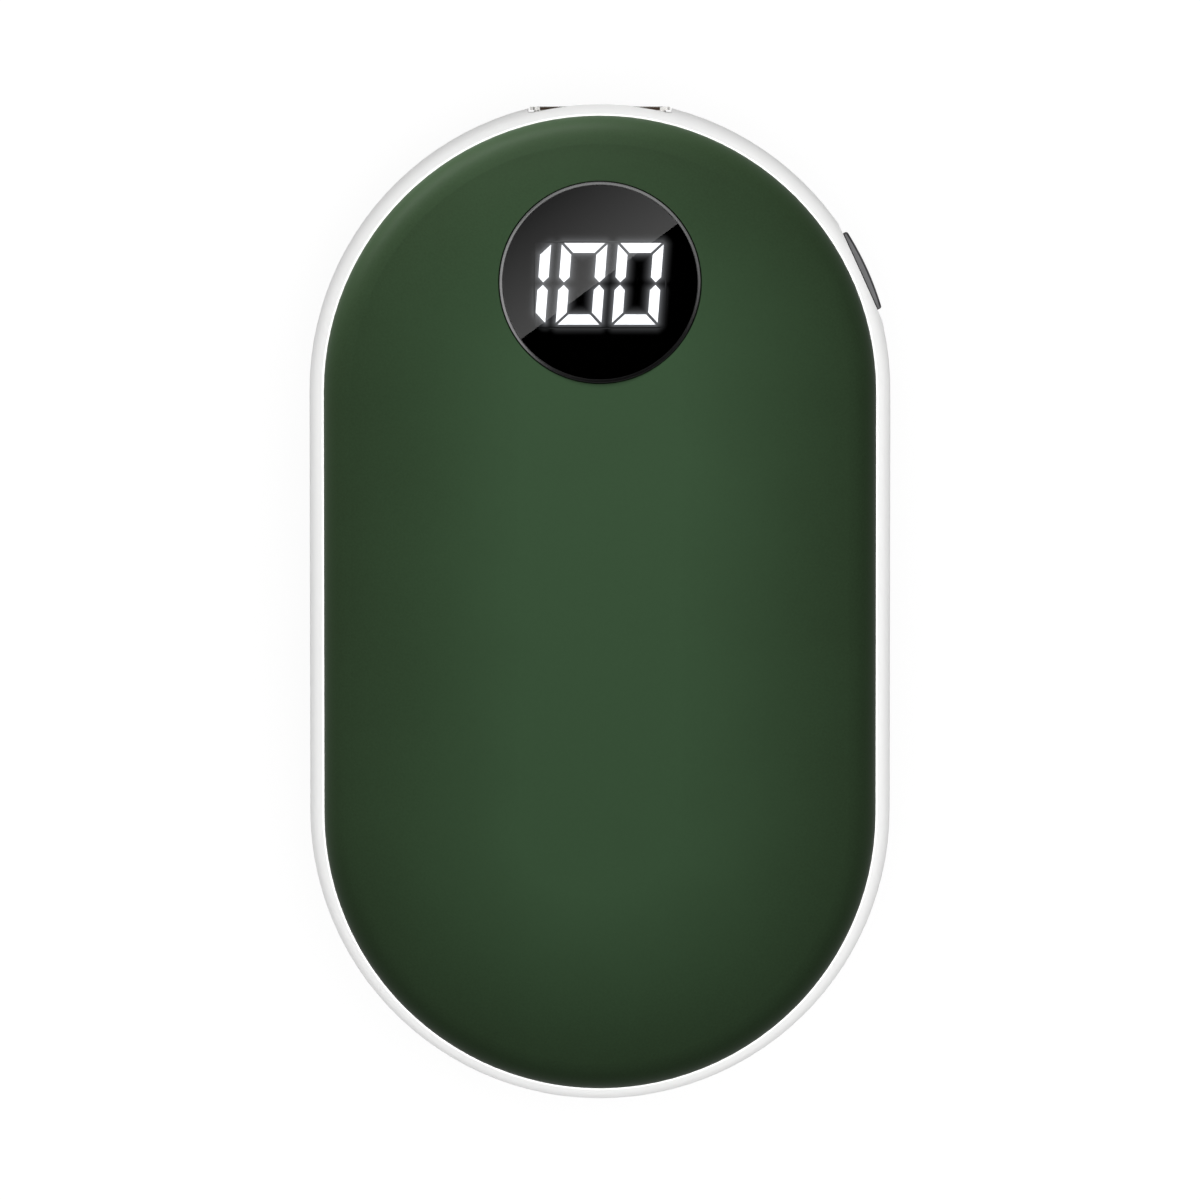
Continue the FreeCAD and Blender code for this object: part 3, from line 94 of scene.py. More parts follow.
# Elevation in degrees, and the sky's radiance there
SKY_RADIANCE = ((0.0, 0.25), (15.0, 0.3), (27.0, 1.2), (42.0, 1.2), (56.0, 0.0))
SKY_TOP = 2.0
SKY_SEEN = 1.0
FLOOR_COLOUR = (0.2, 0.2, 0.2, 1.0)
FLOOR_LIFT = 0.885
FLOOR_SIZE = 6.0
FLOOR_GAP = 0.02 * MM
WHITE = (1.0, 1.0, 1.0, 1.0)


def mirrored_in_lens(point):
    return point - 2 * (point - LENS_CENTRE).dot(LENS_AXIS) * LENS_AXIS


def lens_point(across, along):
    """A point of the lens's face above a place in the plan."""
    rise = (LENS_CENTRE.y - along) * math.tan(LENS_TILT)
    return Vector((across, along, LENS_CENTRE.z + rise))


def seen_overhead(point):
    """Where the camera's view off the lens meets the level of the cards."""
    eye = mirrored_in_lens(camera.location)
    away = point - eye
    return point + away * ((CARD_HEIGHT - point.z) / away.z)


def overhead_light(name, centre, turn, size, radiance):
    data = bpy.data.lights.new(name, "AREA")
    data.shape = "RECTANGLE"
    data.size, data.size_y = size
    data.energy = radiance * math.pi * size[0] * size[1]
    light = bpy.data.objects.new(name, data)
    light.location = centre
    light.rotation_euler = (0.0, 0.0, turn)
    light.visible_camera = False
    scene.collection.objects.link(light)
    return light


def rgb(red, green, blue):
    return (red, green, blue, 1.0)


def link(tree, start, end):
    tree.links.new(start, end)


# The card's edge at the slot shows on the lens as a line from lower left to upper right
EDGE_LOWER_LEFT = (-7.7 * MM, 26.55 * MM)
EDGE_UPPER_RIGHT = (8.65 * MM, 38.6 * MM)
edge_start = seen_overhead(lens_point(*EDGE_LOWER_LEFT))
edge_end = seen_overhead(lens_point(*EDGE_UPPER_RIGHT))
edge_middle = (edge_start + edge_end) / 2
edge_along = (edge_end - edge_start).normalized()
edge_out = Vector((-edge_along.y, edge_along.x, 0.0))
edge_turn = math.atan2(edge_along.y, edge_along.x)

card_centre = edge_middle + edge_out * CARD_WIDTH / 2
card = overhead_light("graded_card", card_centre, edge_turn, (CARD_LENGTH, CARD_WIDTH), radiance=1.0)
card.data.use_nodes = True
card_tree = card.data.node_tree
card_place = card_tree.nodes.new("ShaderNodeNewGeometry")
card_split = card_tree.nodes.new("ShaderNodeSeparateXYZ")
card_grade = card_tree.nodes.new("ShaderNodeMapRange")
card_grade.inputs["From Min"].default_value = 0.0
card_grade.inputs["From Max"].default_value = CARD_FADE
card_grade.inputs["To Min"].default_value = CARD_EDGE
card_grade.inputs["To Max"].default_value = CARD_DIM
link(card_tree, card_place.outputs["Parametric"], card_split.inputs["Vector"])
link(card_tree, card_split.outputs["Y"], card_grade.inputs["Value"])
link(card_tree, card_grade.outputs["Result"], card_tree.nodes["Emission"].inputs["Strength"])

softbox_centre = edge_middle - edge_out * (SLOT_WIDTH + SOFTBOX_WIDTH / 2)
softbox_size = (CARD_LENGTH, SOFTBOX_WIDTH)
softbox = overhead_light("softbox", softbox_centre, edge_turn, softbox_size, SOFTBOX_RADIANCE)


def facing_light(name, azimuth, elevation, distance, size, radiance):
    """A light at a compass angle and height that faces the object."""
    light = overhead_light(name, Vector(), 0.0, size, radiance)
    turn, lift = math.radians(azimuth), math.radians(elevation)
    outward = Vector((math.cos(turn) * math.cos(lift), math.sin(turn) * math.cos(lift), math.sin(lift)))
    light.location = outward * distance
    light.rotation_euler = outward.to_track_quat("Z", "Y").to_euler()
    return light


kicker = facing_light(
    "cover_kicker",
    azimuth=115.0,
    elevation=3.0,
    distance=0.143,
    size=(0.16, 0.012),
    radiance=60.0,
)
key = facing_light(
    "cover_key",
    azimuth=100.0,
    elevation=42.0,
    distance=0.8,
    size=(0.5, 0.4),
    radiance=6.2,
)
pool = overhead_light("cover_pool", Vector((0.0, 0.026, 0.075)), turn=0.0, size=(0.03, 0.03), radiance=2.1)
band_light = overhead_light("band_light", Vector((0.0, 0.0, 0.7)), turn=0.0, size=(0.5, 0.5), radiance=9.0)

# Azimuth, elevation, width and radiance of the strips that light the lens's bevel
STRIPS = ((29, 57.0, 0.31, 3.2), (85, 55.0, 0.62, 5.8), (165, 61.0, 0.62, 7.8))
STRIP_DISTANCE = 0.8
STRIP_DEPTH = 0.3
bevel_strips = [
    facing_light(f"bevel_strip_{turn}", turn, height, STRIP_DISTANCE, (width, STRIP_DEPTH), radiance)
    for turn, height, width, radiance in STRIPS
]

world = bpy.data.worlds.new("studio")
scene.world = world
world.use_nodes = True
world_tree = world.node_tree
world_place = world_tree.nodes.new("ShaderNodeTexCoord")
world_split = world_tree.nodes.new("ShaderNodeSeparateXYZ")
world_grade = world_tree.nodes.new("ShaderNodeValToRGB")
world_grade.color_ramp.interpolation = "EASE"
stops = world_grade.color_ramp.elements
ready_stops = len(stops)
for place, (height, radiance) in enumerate(SKY_RADIANCE):
    stop = stops[place] if place < ready_stops else stops.new(1.0)
    stop.position = math.sin(math.radians(height))
    stop.color = rgb(*[radiance / SKY_TOP] * 3)
world_level = world_tree.nodes.new("ShaderNodeMath")
world_level.operation = "MULTIPLY"
world_level.inputs[1].default_value = SKY_TOP
world_path = world_tree.nodes.new("ShaderNodeLightPath")
world_mix = world_tree.nodes.new("ShaderNodeMix")
world_mix.inputs["B"].default_value = SKY_SEEN
background = world_tree.nodes["Background"]
background.inputs["Color"].default_value = WHITE
link(world_tree, world_place.outputs["Generated"], world_split.inputs["Vector"])
link(world_tree, world_split.outputs["Z"], world_grade.inputs["Fac"])
link(world_tree, world_grade.outputs["Color"], world_level.inputs[0])
link(world_tree, world_path.outputs["Is Camera Ray"], world_mix.inputs["Factor"])
link(world_tree, world_level.outputs["Value"], world_mix.inputs["A"])
link(world_tree, world_mix.outputs["Result"], background.inputs["Strength"])


def plane_object(name, half):
    mesh = bpy.data.meshes.new(name)
    corners = [(-half, -half, 0), (half, -half, 0), (half, half, 0), (-half, half, 0)]
    mesh.from_pydata(corners, [], [(0, 1, 2, 3)])
    item = bpy.data.objects.new(name, mesh)
    scene.collection.objects.link(item)
    return item


floor = plane_object("floor", FLOOR_SIZE / 2)
floor.location.z = -FLOOR_GAP
floor_material = bpy.data.materials.new("floor_white")
floor_material.use_nodes = True
floor_tree = floor_material.node_tree
floor_tree.nodes.remove(floor_tree.nodes["Principled BSDF"])
floor_diffuse = floor_tree.nodes.new("ShaderNodeBsdfDiffuse")
floor_diffuse.inputs["Color"].default_value = FLOOR_COLOUR
floor_glow = floor_tree.nodes.new("ShaderNodeEmission")
floor_path = floor_tree.nodes.new("ShaderNodeLightPath")
floor_seen = floor_path.outputs["Is Camera Ray"]
for ray in ("Is Glossy Ray", "Is Transmission Ray"):
    either = floor_tree.nodes.new("ShaderNodeMath")
    either.operation = "MAXIMUM"
    link(floor_tree, floor_seen, either.inputs[0])
    link(floor_tree, floor_path.outputs[ray], either.inputs[1])
    floor_seen = either.outputs["Value"]
floor_level = floor_tree.nodes.new("ShaderNodeMath")
floor_level.operation = "MULTIPLY"
floor_level.inputs[1].default_value = FLOOR_LIFT
floor_sum = floor_tree.nodes.new("ShaderNodeAddShader")
link(floor_tree, floor_seen, floor_level.inputs[0])
link(floor_tree, floor_level.outputs["Value"], floor_glow.inputs["Strength"])
link(floor_tree, floor_diffuse.outputs["BSDF"], floor_sum.inputs[0])
link(floor_tree, floor_glow.outputs["Emission"], floor_sum.inputs[1])
link(floor_tree, floor_sum.outputs["Shader"], floor_tree.nodes["Material Output"].inputs["Surface"])
floor.data.materials.append(floor_material)


# Sizes of the part that the finishes follow
HALF_THICKNESS = 12.5 * MM
CROWN_DROP = 3.8 * MM
FLANGE_HALF = 3.25 * MM
END_CENTRE = 21.0 * MM
CAP_RADIUS = 29.3 * MM
BUTTON_HALF = 4.2 * MM
BUTTON_TURN = math.radians(24.5)
FACET_LEVEL = 28.5 * MM
MOUTH_HALF = 5.95 * MM

# Where the painted shade on the button and on the socket's flange starts and stops
CAP_FACE_START = CAP_RADIUS - 0.26 * MM
CAP_FACE_FULL = CAP_RADIUS - 0.16 * MM
CAP_END_START = BUTTON_HALF - 0.2 * MM
CAP_END_FULL = BUTTON_HALF - 0.1 * MM
ROOT_SHADOW_FULL = FACET_LEVEL + 0.08 * MM
ROOT_SHADOW_END = FACET_LEVEL + 0.14 * MM
WEDGE_SHADE_START = FLANGE_HALF - 0.06 * MM
WEDGE_SHADE_FULL = FLANGE_HALF - 0.03 * MM
WEDGE_SHADE_END = MOUTH_HALF + 0.05 * MM

# Values that finishes share
EVEN = (1.0, 1.0, 1.0)
NOISE_LOW, NOISE_HIGH = 0.3, 0.7
LINES_LOW, LINES_HIGH = 0.25, 0.75
LINE_SIZE = 0.12 * MM
LINE_DETAIL = 4.0
LINE_DEPTH = 0.004 * MM
DULL_PATCH = 1.6 * MM
ACRYLIC_IOR = 1.49

# Numbers of the colour sockets of a mix node
MIX_FIRST, MIX_SECOND, MIX_RESULT = 6, 7, 2


class Finish:
    """A material under construction: a shader, and textures laid out in the object's own metres."""

    def __init__(self, name, **sockets):
        self.material = bpy.data.materials.new(name)
        self.material.use_nodes = True
        self.tree = self.material.node_tree
        self.shader = self.tree.nodes["Principled BSDF"]
        self.place = self.tree.nodes.new("ShaderNodeTexCoord").outputs["Object"]
        for socket, value in sockets.items():
            self.shader.inputs[socket.replace("_", " ")].default_value = value

    def add(self, kind, **inputs):
        node = self.tree.nodes.new(kind)
        for socket, value in inputs.items():
            self.feed(node.inputs[socket.replace("_", " ")], value)
        return node

    def feed(self, socket, value):
        if isinstance(value, bpy.types.NodeSocket):
            link(self.tree, value, socket)
        else:
            socket.default_value = value

    def stretched(self, scale):
        return self.add("ShaderNodeMapping", Vector=self.place, Scale=scale).outputs["Vector"]

    def noise(self, size, detail=3.0, stretch=EVEN, distortion=0.0):
        node = self.add(
            "ShaderNodeTexNoise",
            Vector=self.stretched(stretch),
            Scale=1 / size,
            Detail=detail,
            Distortion=distortion,
        )
        return node.outputs["Fac"]

    def cell_edges(self, size):
        node = self.add("ShaderNodeTexVoronoi", Vector=self.stretched(EVEN), Scale=1 / size)
        node.feature = "DISTANCE_TO_EDGE"
        return node.outputs["Distance"]

    def ranged(self, value, start, end, low, high):
        node = self.add("ShaderNodeMapRange", Value=value)
        for socket, amount in zip(("From Min", "From Max", "To Min", "To Max"), (start, end, low, high)):
            node.inputs[socket].default_value = amount
        return node.outputs["Result"]

    def spread(self, noise, low, high):
        """Stretches the usual range of a noise to two values."""
        return self.ranged(noise, NOISE_LOW, NOISE_HIGH, low, high)

    def mixed(self, factor, first, second):
        node = self.tree.nodes.new("ShaderNodeMix")
        node.data_type = "RGBA"
        self.feed(node.inputs["Factor"], factor)
        self.feed(node.inputs[MIX_FIRST], first)
        self.feed(node.inputs[MIX_SECOND], second)
        return node.outputs[MIX_RESULT]

    def math(self, operation, first, second=0.0):
        node = self.tree.nodes.new("ShaderNodeMath")
        node.operation = operation
        self.feed(node.inputs[0], first)
        self.feed(node.inputs[1], second)
        return node.outputs["Value"]

    def colour(self, value):
        self.feed(self.shader.inputs["Base Color"], value)

    def roughness(self, value):
        self.feed(self.shader.inputs["Roughness"], value)

    def bump(self, height, depth, strength=1.0):
        node = self.add("ShaderNodeBump", Height=height, Distance=depth, Strength=strength)
        link(self.tree, node.outputs["Normal"], self.shader.inputs["Normal"])


def shaded(tone, share):
    return rgb(*(channel * share for channel in tone[:3]))


def moulded(name, tone, rough, grain, depth, mottle=0.06, patch=6 * MM, **sockets):
    """Moulded plastic, rubber or ceramic: a fine grain in gloss and relief over a faint mottle."""
    finish = Finish(name, **sockets)
    clouds = finish.noise(patch)
    finish.colour(finish.mixed(clouds, shaded(tone, 1 - mottle), shaded(tone, 1 + mottle)))
    fine = finish.noise(grain)
    finish.roughness(finish.spread(fine, *rough))
    finish.bump(fine, depth)
    return finish.material


def drawn_metal(name, tone, rough, stretch):
    """Metal with drawing lines along one direction and slightly duller patches."""
    finish = Finish(name, Metallic=1.0)
    lines = finish.noise(LINE_SIZE, LINE_DETAIL, stretch)
    clouds = finish.noise(DULL_PATCH)
    dull = shaded(tone, 0.88)
    finish.colour(finish.mixed(clouds, dull, tone))
    finish.roughness(finish.ranged(lines, LINES_LOW, LINES_HIGH, *rough))
    finish.bump(lines, LINE_DEPTH)
    return finish.material


def plated_shell():
    """Nickel plate with drawing lines, and painted dark brown shade on the flange's faces away from its
    middle, across the mouth's width, standing in for the shadowed gap between flange and band.
    """
    finish = Finish("shell_nickel", Metallic=1.0)
    lines = finish.noise(LINE_SIZE, LINE_DETAIL, (1.0, 0.06, 1.0))
    plate = finish.mixed(finish.noise(DULL_PATCH), rgb(0.63, 0.62, 0.6), rgb(0.72, 0.71, 0.69))
    axes = finish.add("ShaderNodeSeparateXYZ", Vector=finish.place)
    # Painted shade: dark brown on the flange where it stands proud of the band, standing in for the shadow
    # there
    from_middle = finish.math("ABSOLUTE", finish.math("SUBTRACT", axes.outputs["Z"], HALF_THICKNESS))
    edge = finish.ranged(from_middle, WEDGE_SHADE_START, WEDGE_SHADE_FULL, 0.0, 1.0)
    across = finish.math("ABSOLUTE", axes.outputs["X"])
    along_mouth = finish.ranged(across, MOUTH_HALF, WEDGE_SHADE_END, 1.0, 0.0)
    painted_wedge_shade = finish.math("MULTIPLY", edge, along_mouth)
    painted_brown_shade = rgb(0.05, 0.034, 0.024)
    finish.colour(finish.mixed(painted_wedge_shade, plate, painted_brown_shade))
    finish.roughness(finish.ranged(lines, LINES_LOW, LINES_HIGH, 0.16, 0.3))
    finish.bump(lines, LINE_DEPTH)
    return finish.material


def soft_touch():
    """Soft-touch paint: a very fine tooth, a faint mottle, and painted shade that darkens the colour down
    the sides of the crown towards the rim.
    """
    finish = Finish("cover_green", Specular_IOR_Level=0.03)
    tone = rgb(0.0266, 0.0548, 0.0257)
    # Painted shade: a darker colour down the sides of the crown, standing in for the light falling off
    # towards the rim
    painted_rim_shade = rgb(0.0155, 0.0287, 0.0128)
    pale = shaded(tone, 1.5)
    height = finish.add("ShaderNodeSeparateXYZ", Vector=finish.place).outputs["Z"]
    from_middle = finish.math("ABSOLUTE", finish.math("SUBTRACT", height, HALF_THICKNESS))
    drop = finish.ranged(from_middle, HALF_THICKNESS, HALF_THICKNESS - CROWN_DROP, 0.0, 1.0)
    clouds = finish.spread(finish.noise(9 * MM), -0.05, 0.05)
    depth = finish.math("ADD", finish.math("POWER", drop, 0.5), clouds)
    tooth = finish.noise(0.22 * MM, 2.0)
    mottle_and_painted_shade = finish.mixed(depth, tone, painted_rim_shade)
    finish.colour(finish.mixed(finish.spread(tooth, 0.0, 0.1), mottle_and_painted_shade, pale))
    finish.roughness(finish.spread(tooth, 0.42, 0.54))
    finish.bump(tooth, 0.006 * MM)
    return finish.material


def button_with_painted_shade():
    """Satin grey button with painted shade: a dark band along the cap face and at both tips, and a painted
    shadow line where it rises from its facet.
    """
    finish = Finish("button_grey", Specular_IOR_Level=0.05)
    inward = finish.add("ShaderNodeVectorMath", Vector=finish.place)
    inward.operation = "SUBTRACT"
    inward.inputs[1].default_value = (0.0, END_CENTRE, 0.0)
    turned = finish.add("ShaderNodeVectorRotate", Vector=inward.outputs["Vector"], Angle=-BUTTON_TURN)
    turned.rotation_type = "Z_AXIS"
    axes = finish.add("ShaderNodeSeparateXYZ", Vector=turned.outputs["Vector"])
    along = finish.math("ABSOLUTE", axes.outputs["Y"])
    sag = finish.math("MULTIPLY", finish.math("MULTIPLY", along, along), 0.5 / CAP_RADIUS)
    reach = finish.math("ADD", axes.outputs["X"], sag)
    # Painted shade: dark bands along the cap face and at the tips stand in for the shaded edges of the
    # button
    face = finish.ranged(reach, CAP_FACE_START, CAP_FACE_FULL, 0.0, 1.0)
    painted_end_shade = finish.ranged(along, CAP_END_START, CAP_END_FULL, 0.0, 1.0)
    grain = finish.noise(0.16 * MM)
    skirt = finish.mixed(grain, rgb(0.23, 0.23, 0.235), rgb(0.26, 0.26, 0.265))
    # Painted shadow: a dark line where the button rises from its facet
    painted_root_shadow = finish.ranged(axes.outputs["X"], ROOT_SHADOW_FULL, ROOT_SHADOW_END, 1.0, 0.0)
    outline = finish.math("MAXIMUM", finish.math("MAXIMUM", face, painted_end_shade), painted_root_shadow)
    dark = rgb(0.018, 0.018, 0.019)
    finish.colour(finish.mixed(outline, skirt, dark))
    finish.roughness(finish.spread(grain, 0.36, 0.48))
    finish.bump(grain, 0.006 * MM)
    return finish.material


def solder_mask():
    """Board: mask over copper runs that show as slightly raised paler lines, and bare edges."""
    finish = Finish("board_green", Coat_Weight=0.4, Coat_Roughness=0.12)
    runs = finish.add("ShaderNodeTexBrick", Vector=finish.stretched((1.0, 1.0, 0.0)), Scale=1 / (2.4 * MM))
    runs.inputs["Mortar Size"].default_value = 0.06
    mask = finish.mixed(finish.noise(3 * MM), rgb(0.010, 0.105, 0.045), rgb(0.016, 0.15, 0.066))
    finish.colour(finish.mixed(runs.outputs["Fac"], mask, rgb(0.035, 0.24, 0.11)))
    finish.roughness(finish.spread(finish.noise(0.4 * MM), 0.22, 0.34))
    finish.bump(runs.outputs["Fac"], 0.02 * MM)
    return finish.material


def crinkled_foil():
    """Pouch laminate: bright foil with shallow creases and a dull skin."""
    finish = Finish("pouch_silver", Metallic=0.85)
    creases = finish.cell_edges(5 * MM)
    ripples = finish.noise(2.2 * MM, 4.0, distortion=0.8)
    finish.colour(finish.mixed(ripples, rgb(0.52, 0.52, 0.54), rgb(0.68, 0.68, 0.69)))
    finish.roughness(finish.spread(finish.noise(0.5 * MM), 0.28, 0.42))
    heights = finish.math("ADD", finish.ranged(creases, 0.0, 0.12, 0.0, 1.0), ripples)
    finish.bump(heights, 0.06 * MM, 0.6)
    return finish.material


def pressed_felt():
    """Insulation: short matted fibres in two directions."""
    finish = Finish("pad_felt", Sheen_Weight=0.3, Sheen_Roughness=0.6)
    across = finish.noise(0.5 * MM, 5.0, (0.25, 1.0, 1.0), 1.5)
    along = finish.noise(0.5 * MM, 5.0, (1.0, 0.25, 1.0), 1.5)
    fibres = finish.math("MAXIMUM", across, along)
    finish.colour(finish.mixed(fibres, rgb(0.5, 0.49, 0.44), rgb(0.78, 0.77, 0.72)))
    finish.roughness(finish.spread(fibres, 0.85, 1.0))
    finish.bump(fibres, 0.12 * MM)
    return finish.material


def amber_film():
    """Polyimide: clear amber with a faint dimpled gloss."""
    finish = Finish("film_amber", Specular_IOR_Level=0.6)
    dimples = finish.noise(1.4 * MM, 2.0)
    finish.colour(finish.mixed(dimples, rgb(0.38, 0.145, 0.022), rgb(0.52, 0.215, 0.038)))
    finish.roughness(finish.spread(dimples, 0.14, 0.26))
    finish.bump(dimples, 0.015 * MM)
    return finish.material


def glowing(name, tone, level):
    """A lit diffuser with faint clouds in its brightness and gloss."""
    finish = Finish(name)
    milk = finish.noise(0.8 * MM)
    finish.colour(tone)
    finish.roughness(finish.spread(milk, 0.35, 0.5))
    finish.shader.inputs["Emission Color"].default_value = tone
    brightest = level * 1.15
    strength = finish.spread(milk, level, brightest)
    finish.feed(finish.shader.inputs["Emission Strength"], strength)
    return finish.material


GLOW_ATTRIBUTE = "glow"


def glowing_black(name, grey):
    """Black without gloss with a painted glow: emission read from a mesh attribute stands in for the spill
    of light from the lit bars next to it.
    """
    finish = Finish(name, Specular_IOR_Level=0.0)
    tone = rgb(grey, grey, grey)
    grain = finish.noise(0.15 * MM)
    finish.colour(finish.mixed(grain, shaded(tone, 0.7), shaded(tone, 1.3)))
    finish.roughness(finish.spread(grain, 0.6, 0.75))
    spill = finish.add("ShaderNodeAttribute")
    spill.attribute_name = GLOW_ATTRIBUTE
    finish.shader.inputs["Emission Color"].default_value = rgb(0.94, 0.97, 1.0)
    link(finish.tree, spill.outputs["Fac"], finish.shader.inputs["Emission Strength"])
    return finish.material


def smoked_glass():
    """Polished smoked sheet with a trace of streaks in its tint."""
    finish = Finish("lens_black", IOR=ACRYLIC_IOR, Transmission_Weight=1.0, Roughness=0.0)
    haze = finish.noise(7 * MM, 1.0)
    finish.colour(finish.mixed(haze, rgb(0.2, 0.2, 0.205), rgb(0.22, 0.22, 0.225)))
    return finish.material


def backed_black(name, rough):
    """Opaque black of the lens's rim and sides, where no light comes through."""
    finish = Finish(name, IOR=ACRYLIC_IOR, Roughness=rough)
    specks = finish.noise(0.1 * MM)
    finish.colour(finish.mixed(specks, rgb(0.0, 0.0, 0.0), rgb(0.0012, 0.0012, 0.0012)))
    return finish.material


# A moulded finish has a tone, two ends of its roughness, the size and depth of its grain, and its mottle.
# A drawn metal has a tone, two ends of its roughness, and a stretch that sets the way of its lines.
finishes = {
    "cover_green": soft_touch(),
    "band_white": moulded(
        "band_white",
        rgb(0.87, 0.87, 0.865),
        (0.42, 0.5),
        0.25 * MM,
        0.004 * MM,
        0.012,
        8 * MM,
        Specular_IOR_Level=0.12,
    ),
    "lens_black": smoked_glass(),
    "foam_black": moulded("foam_black", rgb(0.015, 0.015, 0.016), (0.85, 1.0), 0.18 * MM, 0.06 * MM),
    "display_black": moulded("display_black", rgb(0.01, 0.01, 0.01), (0.5, 0.65), 0.15 * MM, 0.01 * MM),
    "segment_white": glowing("segment_white", rgb(0.97, 0.985, 1.0), 6.5),
    "segment_dark": moulded("segment_dark", rgb(0.014, 0.014, 0.015), (0.4, 0.55), 0.2 * MM, 0.004 * MM),
    "contact_gold": drawn_metal("contact_gold", rgb(0.83, 0.61, 0.22), (0.18, 0.32), (1.0, 0.08, 1.0)),
    "button_grey": button_with_painted_shade(),
    "switch_black": moulded("switch_black", rgb(0.02, 0.02, 0.02), (0.4, 0.55), 0.2 * MM, 0.01 * MM),
    "plunger_white": moulded("plunger_white", rgb(0.75, 0.74, 0.7), (0.38, 0.5), 0.2 * MM, 0.006 * MM, 0.03),
    "shell_nickel": plated_shell(),
    "insulator_black": moulded("insulator_black", rgb(0.02, 0.02, 0.022), (0.4, 0.55), 0.2 * MM, 0.01 * MM),
    "board_green": solder_mask(),
    "chip_black": moulded("chip_black", rgb(0.02, 0.02, 0.022), (0.45, 0.65), 0.1 * MM, 0.012 * MM),
    "ferrite_grey": moulded("ferrite_grey", rgb(0.08, 0.08, 0.085), (0.6, 0.8), 0.15 * MM, 0.03 * MM, 0.15),
    "capacitor_tan": moulded("capacitor_tan", rgb(0.45, 0.3, 0.17), (0.35, 0.5), 0.2 * MM, 0.01 * MM, 0.1),
    "pouch_silver": crinkled_foil(),
    "tab_nickel": drawn_metal("tab_nickel", rgb(0.62, 0.61, 0.58), (0.25, 0.4), (0.06, 1.0, 1.0)),
    "tape_white": moulded("tape_white", rgb(0.8, 0.8, 0.78), (0.6, 0.75), 0.3 * MM, 0.02 * MM, 0.03),
    "tray_black": moulded("tray_black", rgb(0.025, 0.025, 0.026), (0.45, 0.6), 0.3 * MM, 0.015 * MM),
    "film_amber": amber_film(),
    "trace_copper": drawn_metal("trace_copper", rgb(0.78, 0.42, 0.26), (0.25, 0.4), (1.0, 0.1, 1.0)),
    "pad_felt": pressed_felt(),
    "thermistor_black": moulded("thermistor_black", rgb(0.02, 0.02, 0.02), (0.25, 0.4), 0.4 * MM, 0.02 * MM),
    "lead_yellow": moulded("lead_yellow", rgb(0.8, 0.55, 0.04), (0.35, 0.5), 0.3 * MM, 0.006 * MM),
    "lead_red": moulded("lead_red", rgb(0.6, 0.03, 0.025), (0.35, 0.5), 0.3 * MM, 0.006 * MM),
    "lead_black": moulded("lead_black", rgb(0.02, 0.02, 0.02), (0.35, 0.5), 0.3 * MM, 0.006 * MM),
    "lead_white": moulded("lead_white", rgb(0.8, 0.79, 0.76), (0.35, 0.5), 0.3 * MM, 0.006 * MM, 0.03),
    "screw_steel": drawn_metal("screw_steel", rgb(0.6, 0.6, 0.61), (0.22, 0.36), (1.0, 1.0, 0.1)),
}

for subpart in frame["record"]["subparts"]:
    item = nodes[subpart["node"]]
    item.data.materials.clear()
    item.data.materials.append(finishes[subpart["material_slot"]])

# Painted glow: the light that spills from the lit bars, written as emission that fades with distance from
# them
SPILL_STEP = 0.13 * MM
SPILL_LEVEL = 0.85
SPILL_REACH = 0.28 * MM
SPILL_END = 1.0 * MM
FACE_LIFT = 0.02 * MM
FACE_GREY = 0.008
UPWARD = 0.99
PLACE_DIGITS = 7

# Kinds of faces that the triangulation gives back
ALL_FACES, INSIDE_FACES = 0, 1
SHEET_MERGE = 1e-8
BACK_MERGE = 1e-9


def lit_triangles():
    """Top faces of the lit bars as plan triangles, with the level they lie at."""
    data = nodes["display_segments_lit"].data
    data.calc_loop_triangles()
    tops = [item for item in data.loop_triangles if item.normal.z > UPWARD]
    corners = [[Vector(data.vertices[index].co.xy) for index in item.vertices] for item in tops]
    level = max(vertex.co.z for vertex in data.vertices)
    return corners, level


def distance_to(points, triangles):
    """Distance from each point to the nearest triangle, zero inside one."""
    nearest = np.full(len(points), np.inf)
    for triangle in triangles:
        corners = [np.array(corner) for corner in triangle]
        inside = np.ones(len(points), bool)
        area = np.cross(corners[1] - corners[0], corners[2] - corners[0])
        for start, end in zip(corners, corners[1:] + corners[:1]):
            side = end - start
            offset = points - start
            along = np.clip(offset @ side / (side @ side), 0.0, 1.0)
            nearest = np.minimum(nearest, np.linalg.norm(offset - along[:, None] * side, axis=1))
            inside &= (side[0] * offset[:, 1] - side[1] * offset[:, 0]) * area >= 0
        nearest[inside] = 0.0
    return nearest


def grid(low, high):
    """Points in rows and columns that fill a rectangle."""
    width, depth = (high[axis] - low[axis] for axis in (0, 1))
    columns = round(width / SPILL_STEP)
    rows = round(depth / SPILL_STEP)
    points = []
    for row in range(rows + 1):
        for column in range(columns + 1):
            across = low[0] + width * (column / columns)
            along = low[1] + depth * (row / rows)
            points.append(Vector((across, along)))
    return points


def spilled(data, share=1.0):
    """Writes a painted glow at each point of a mesh, standing in for the light of the lit bars that would
    reach it.
    """
    places = np.array([vertex.co[:2] for vertex in data.vertices])
    reached = np.exp(-distance_to(places, lit_bars) / SPILL_REACH) - math.exp(-SPILL_END / SPILL_REACH)
    light = share * SPILL_LEVEL * np.maximum(reached, 0.0)
    layer = data.attributes.new(GLOW_ATTRIBUTE, "FLOAT", "POINT")
    layer.data.foreach_set("value", light.astype(np.float32))


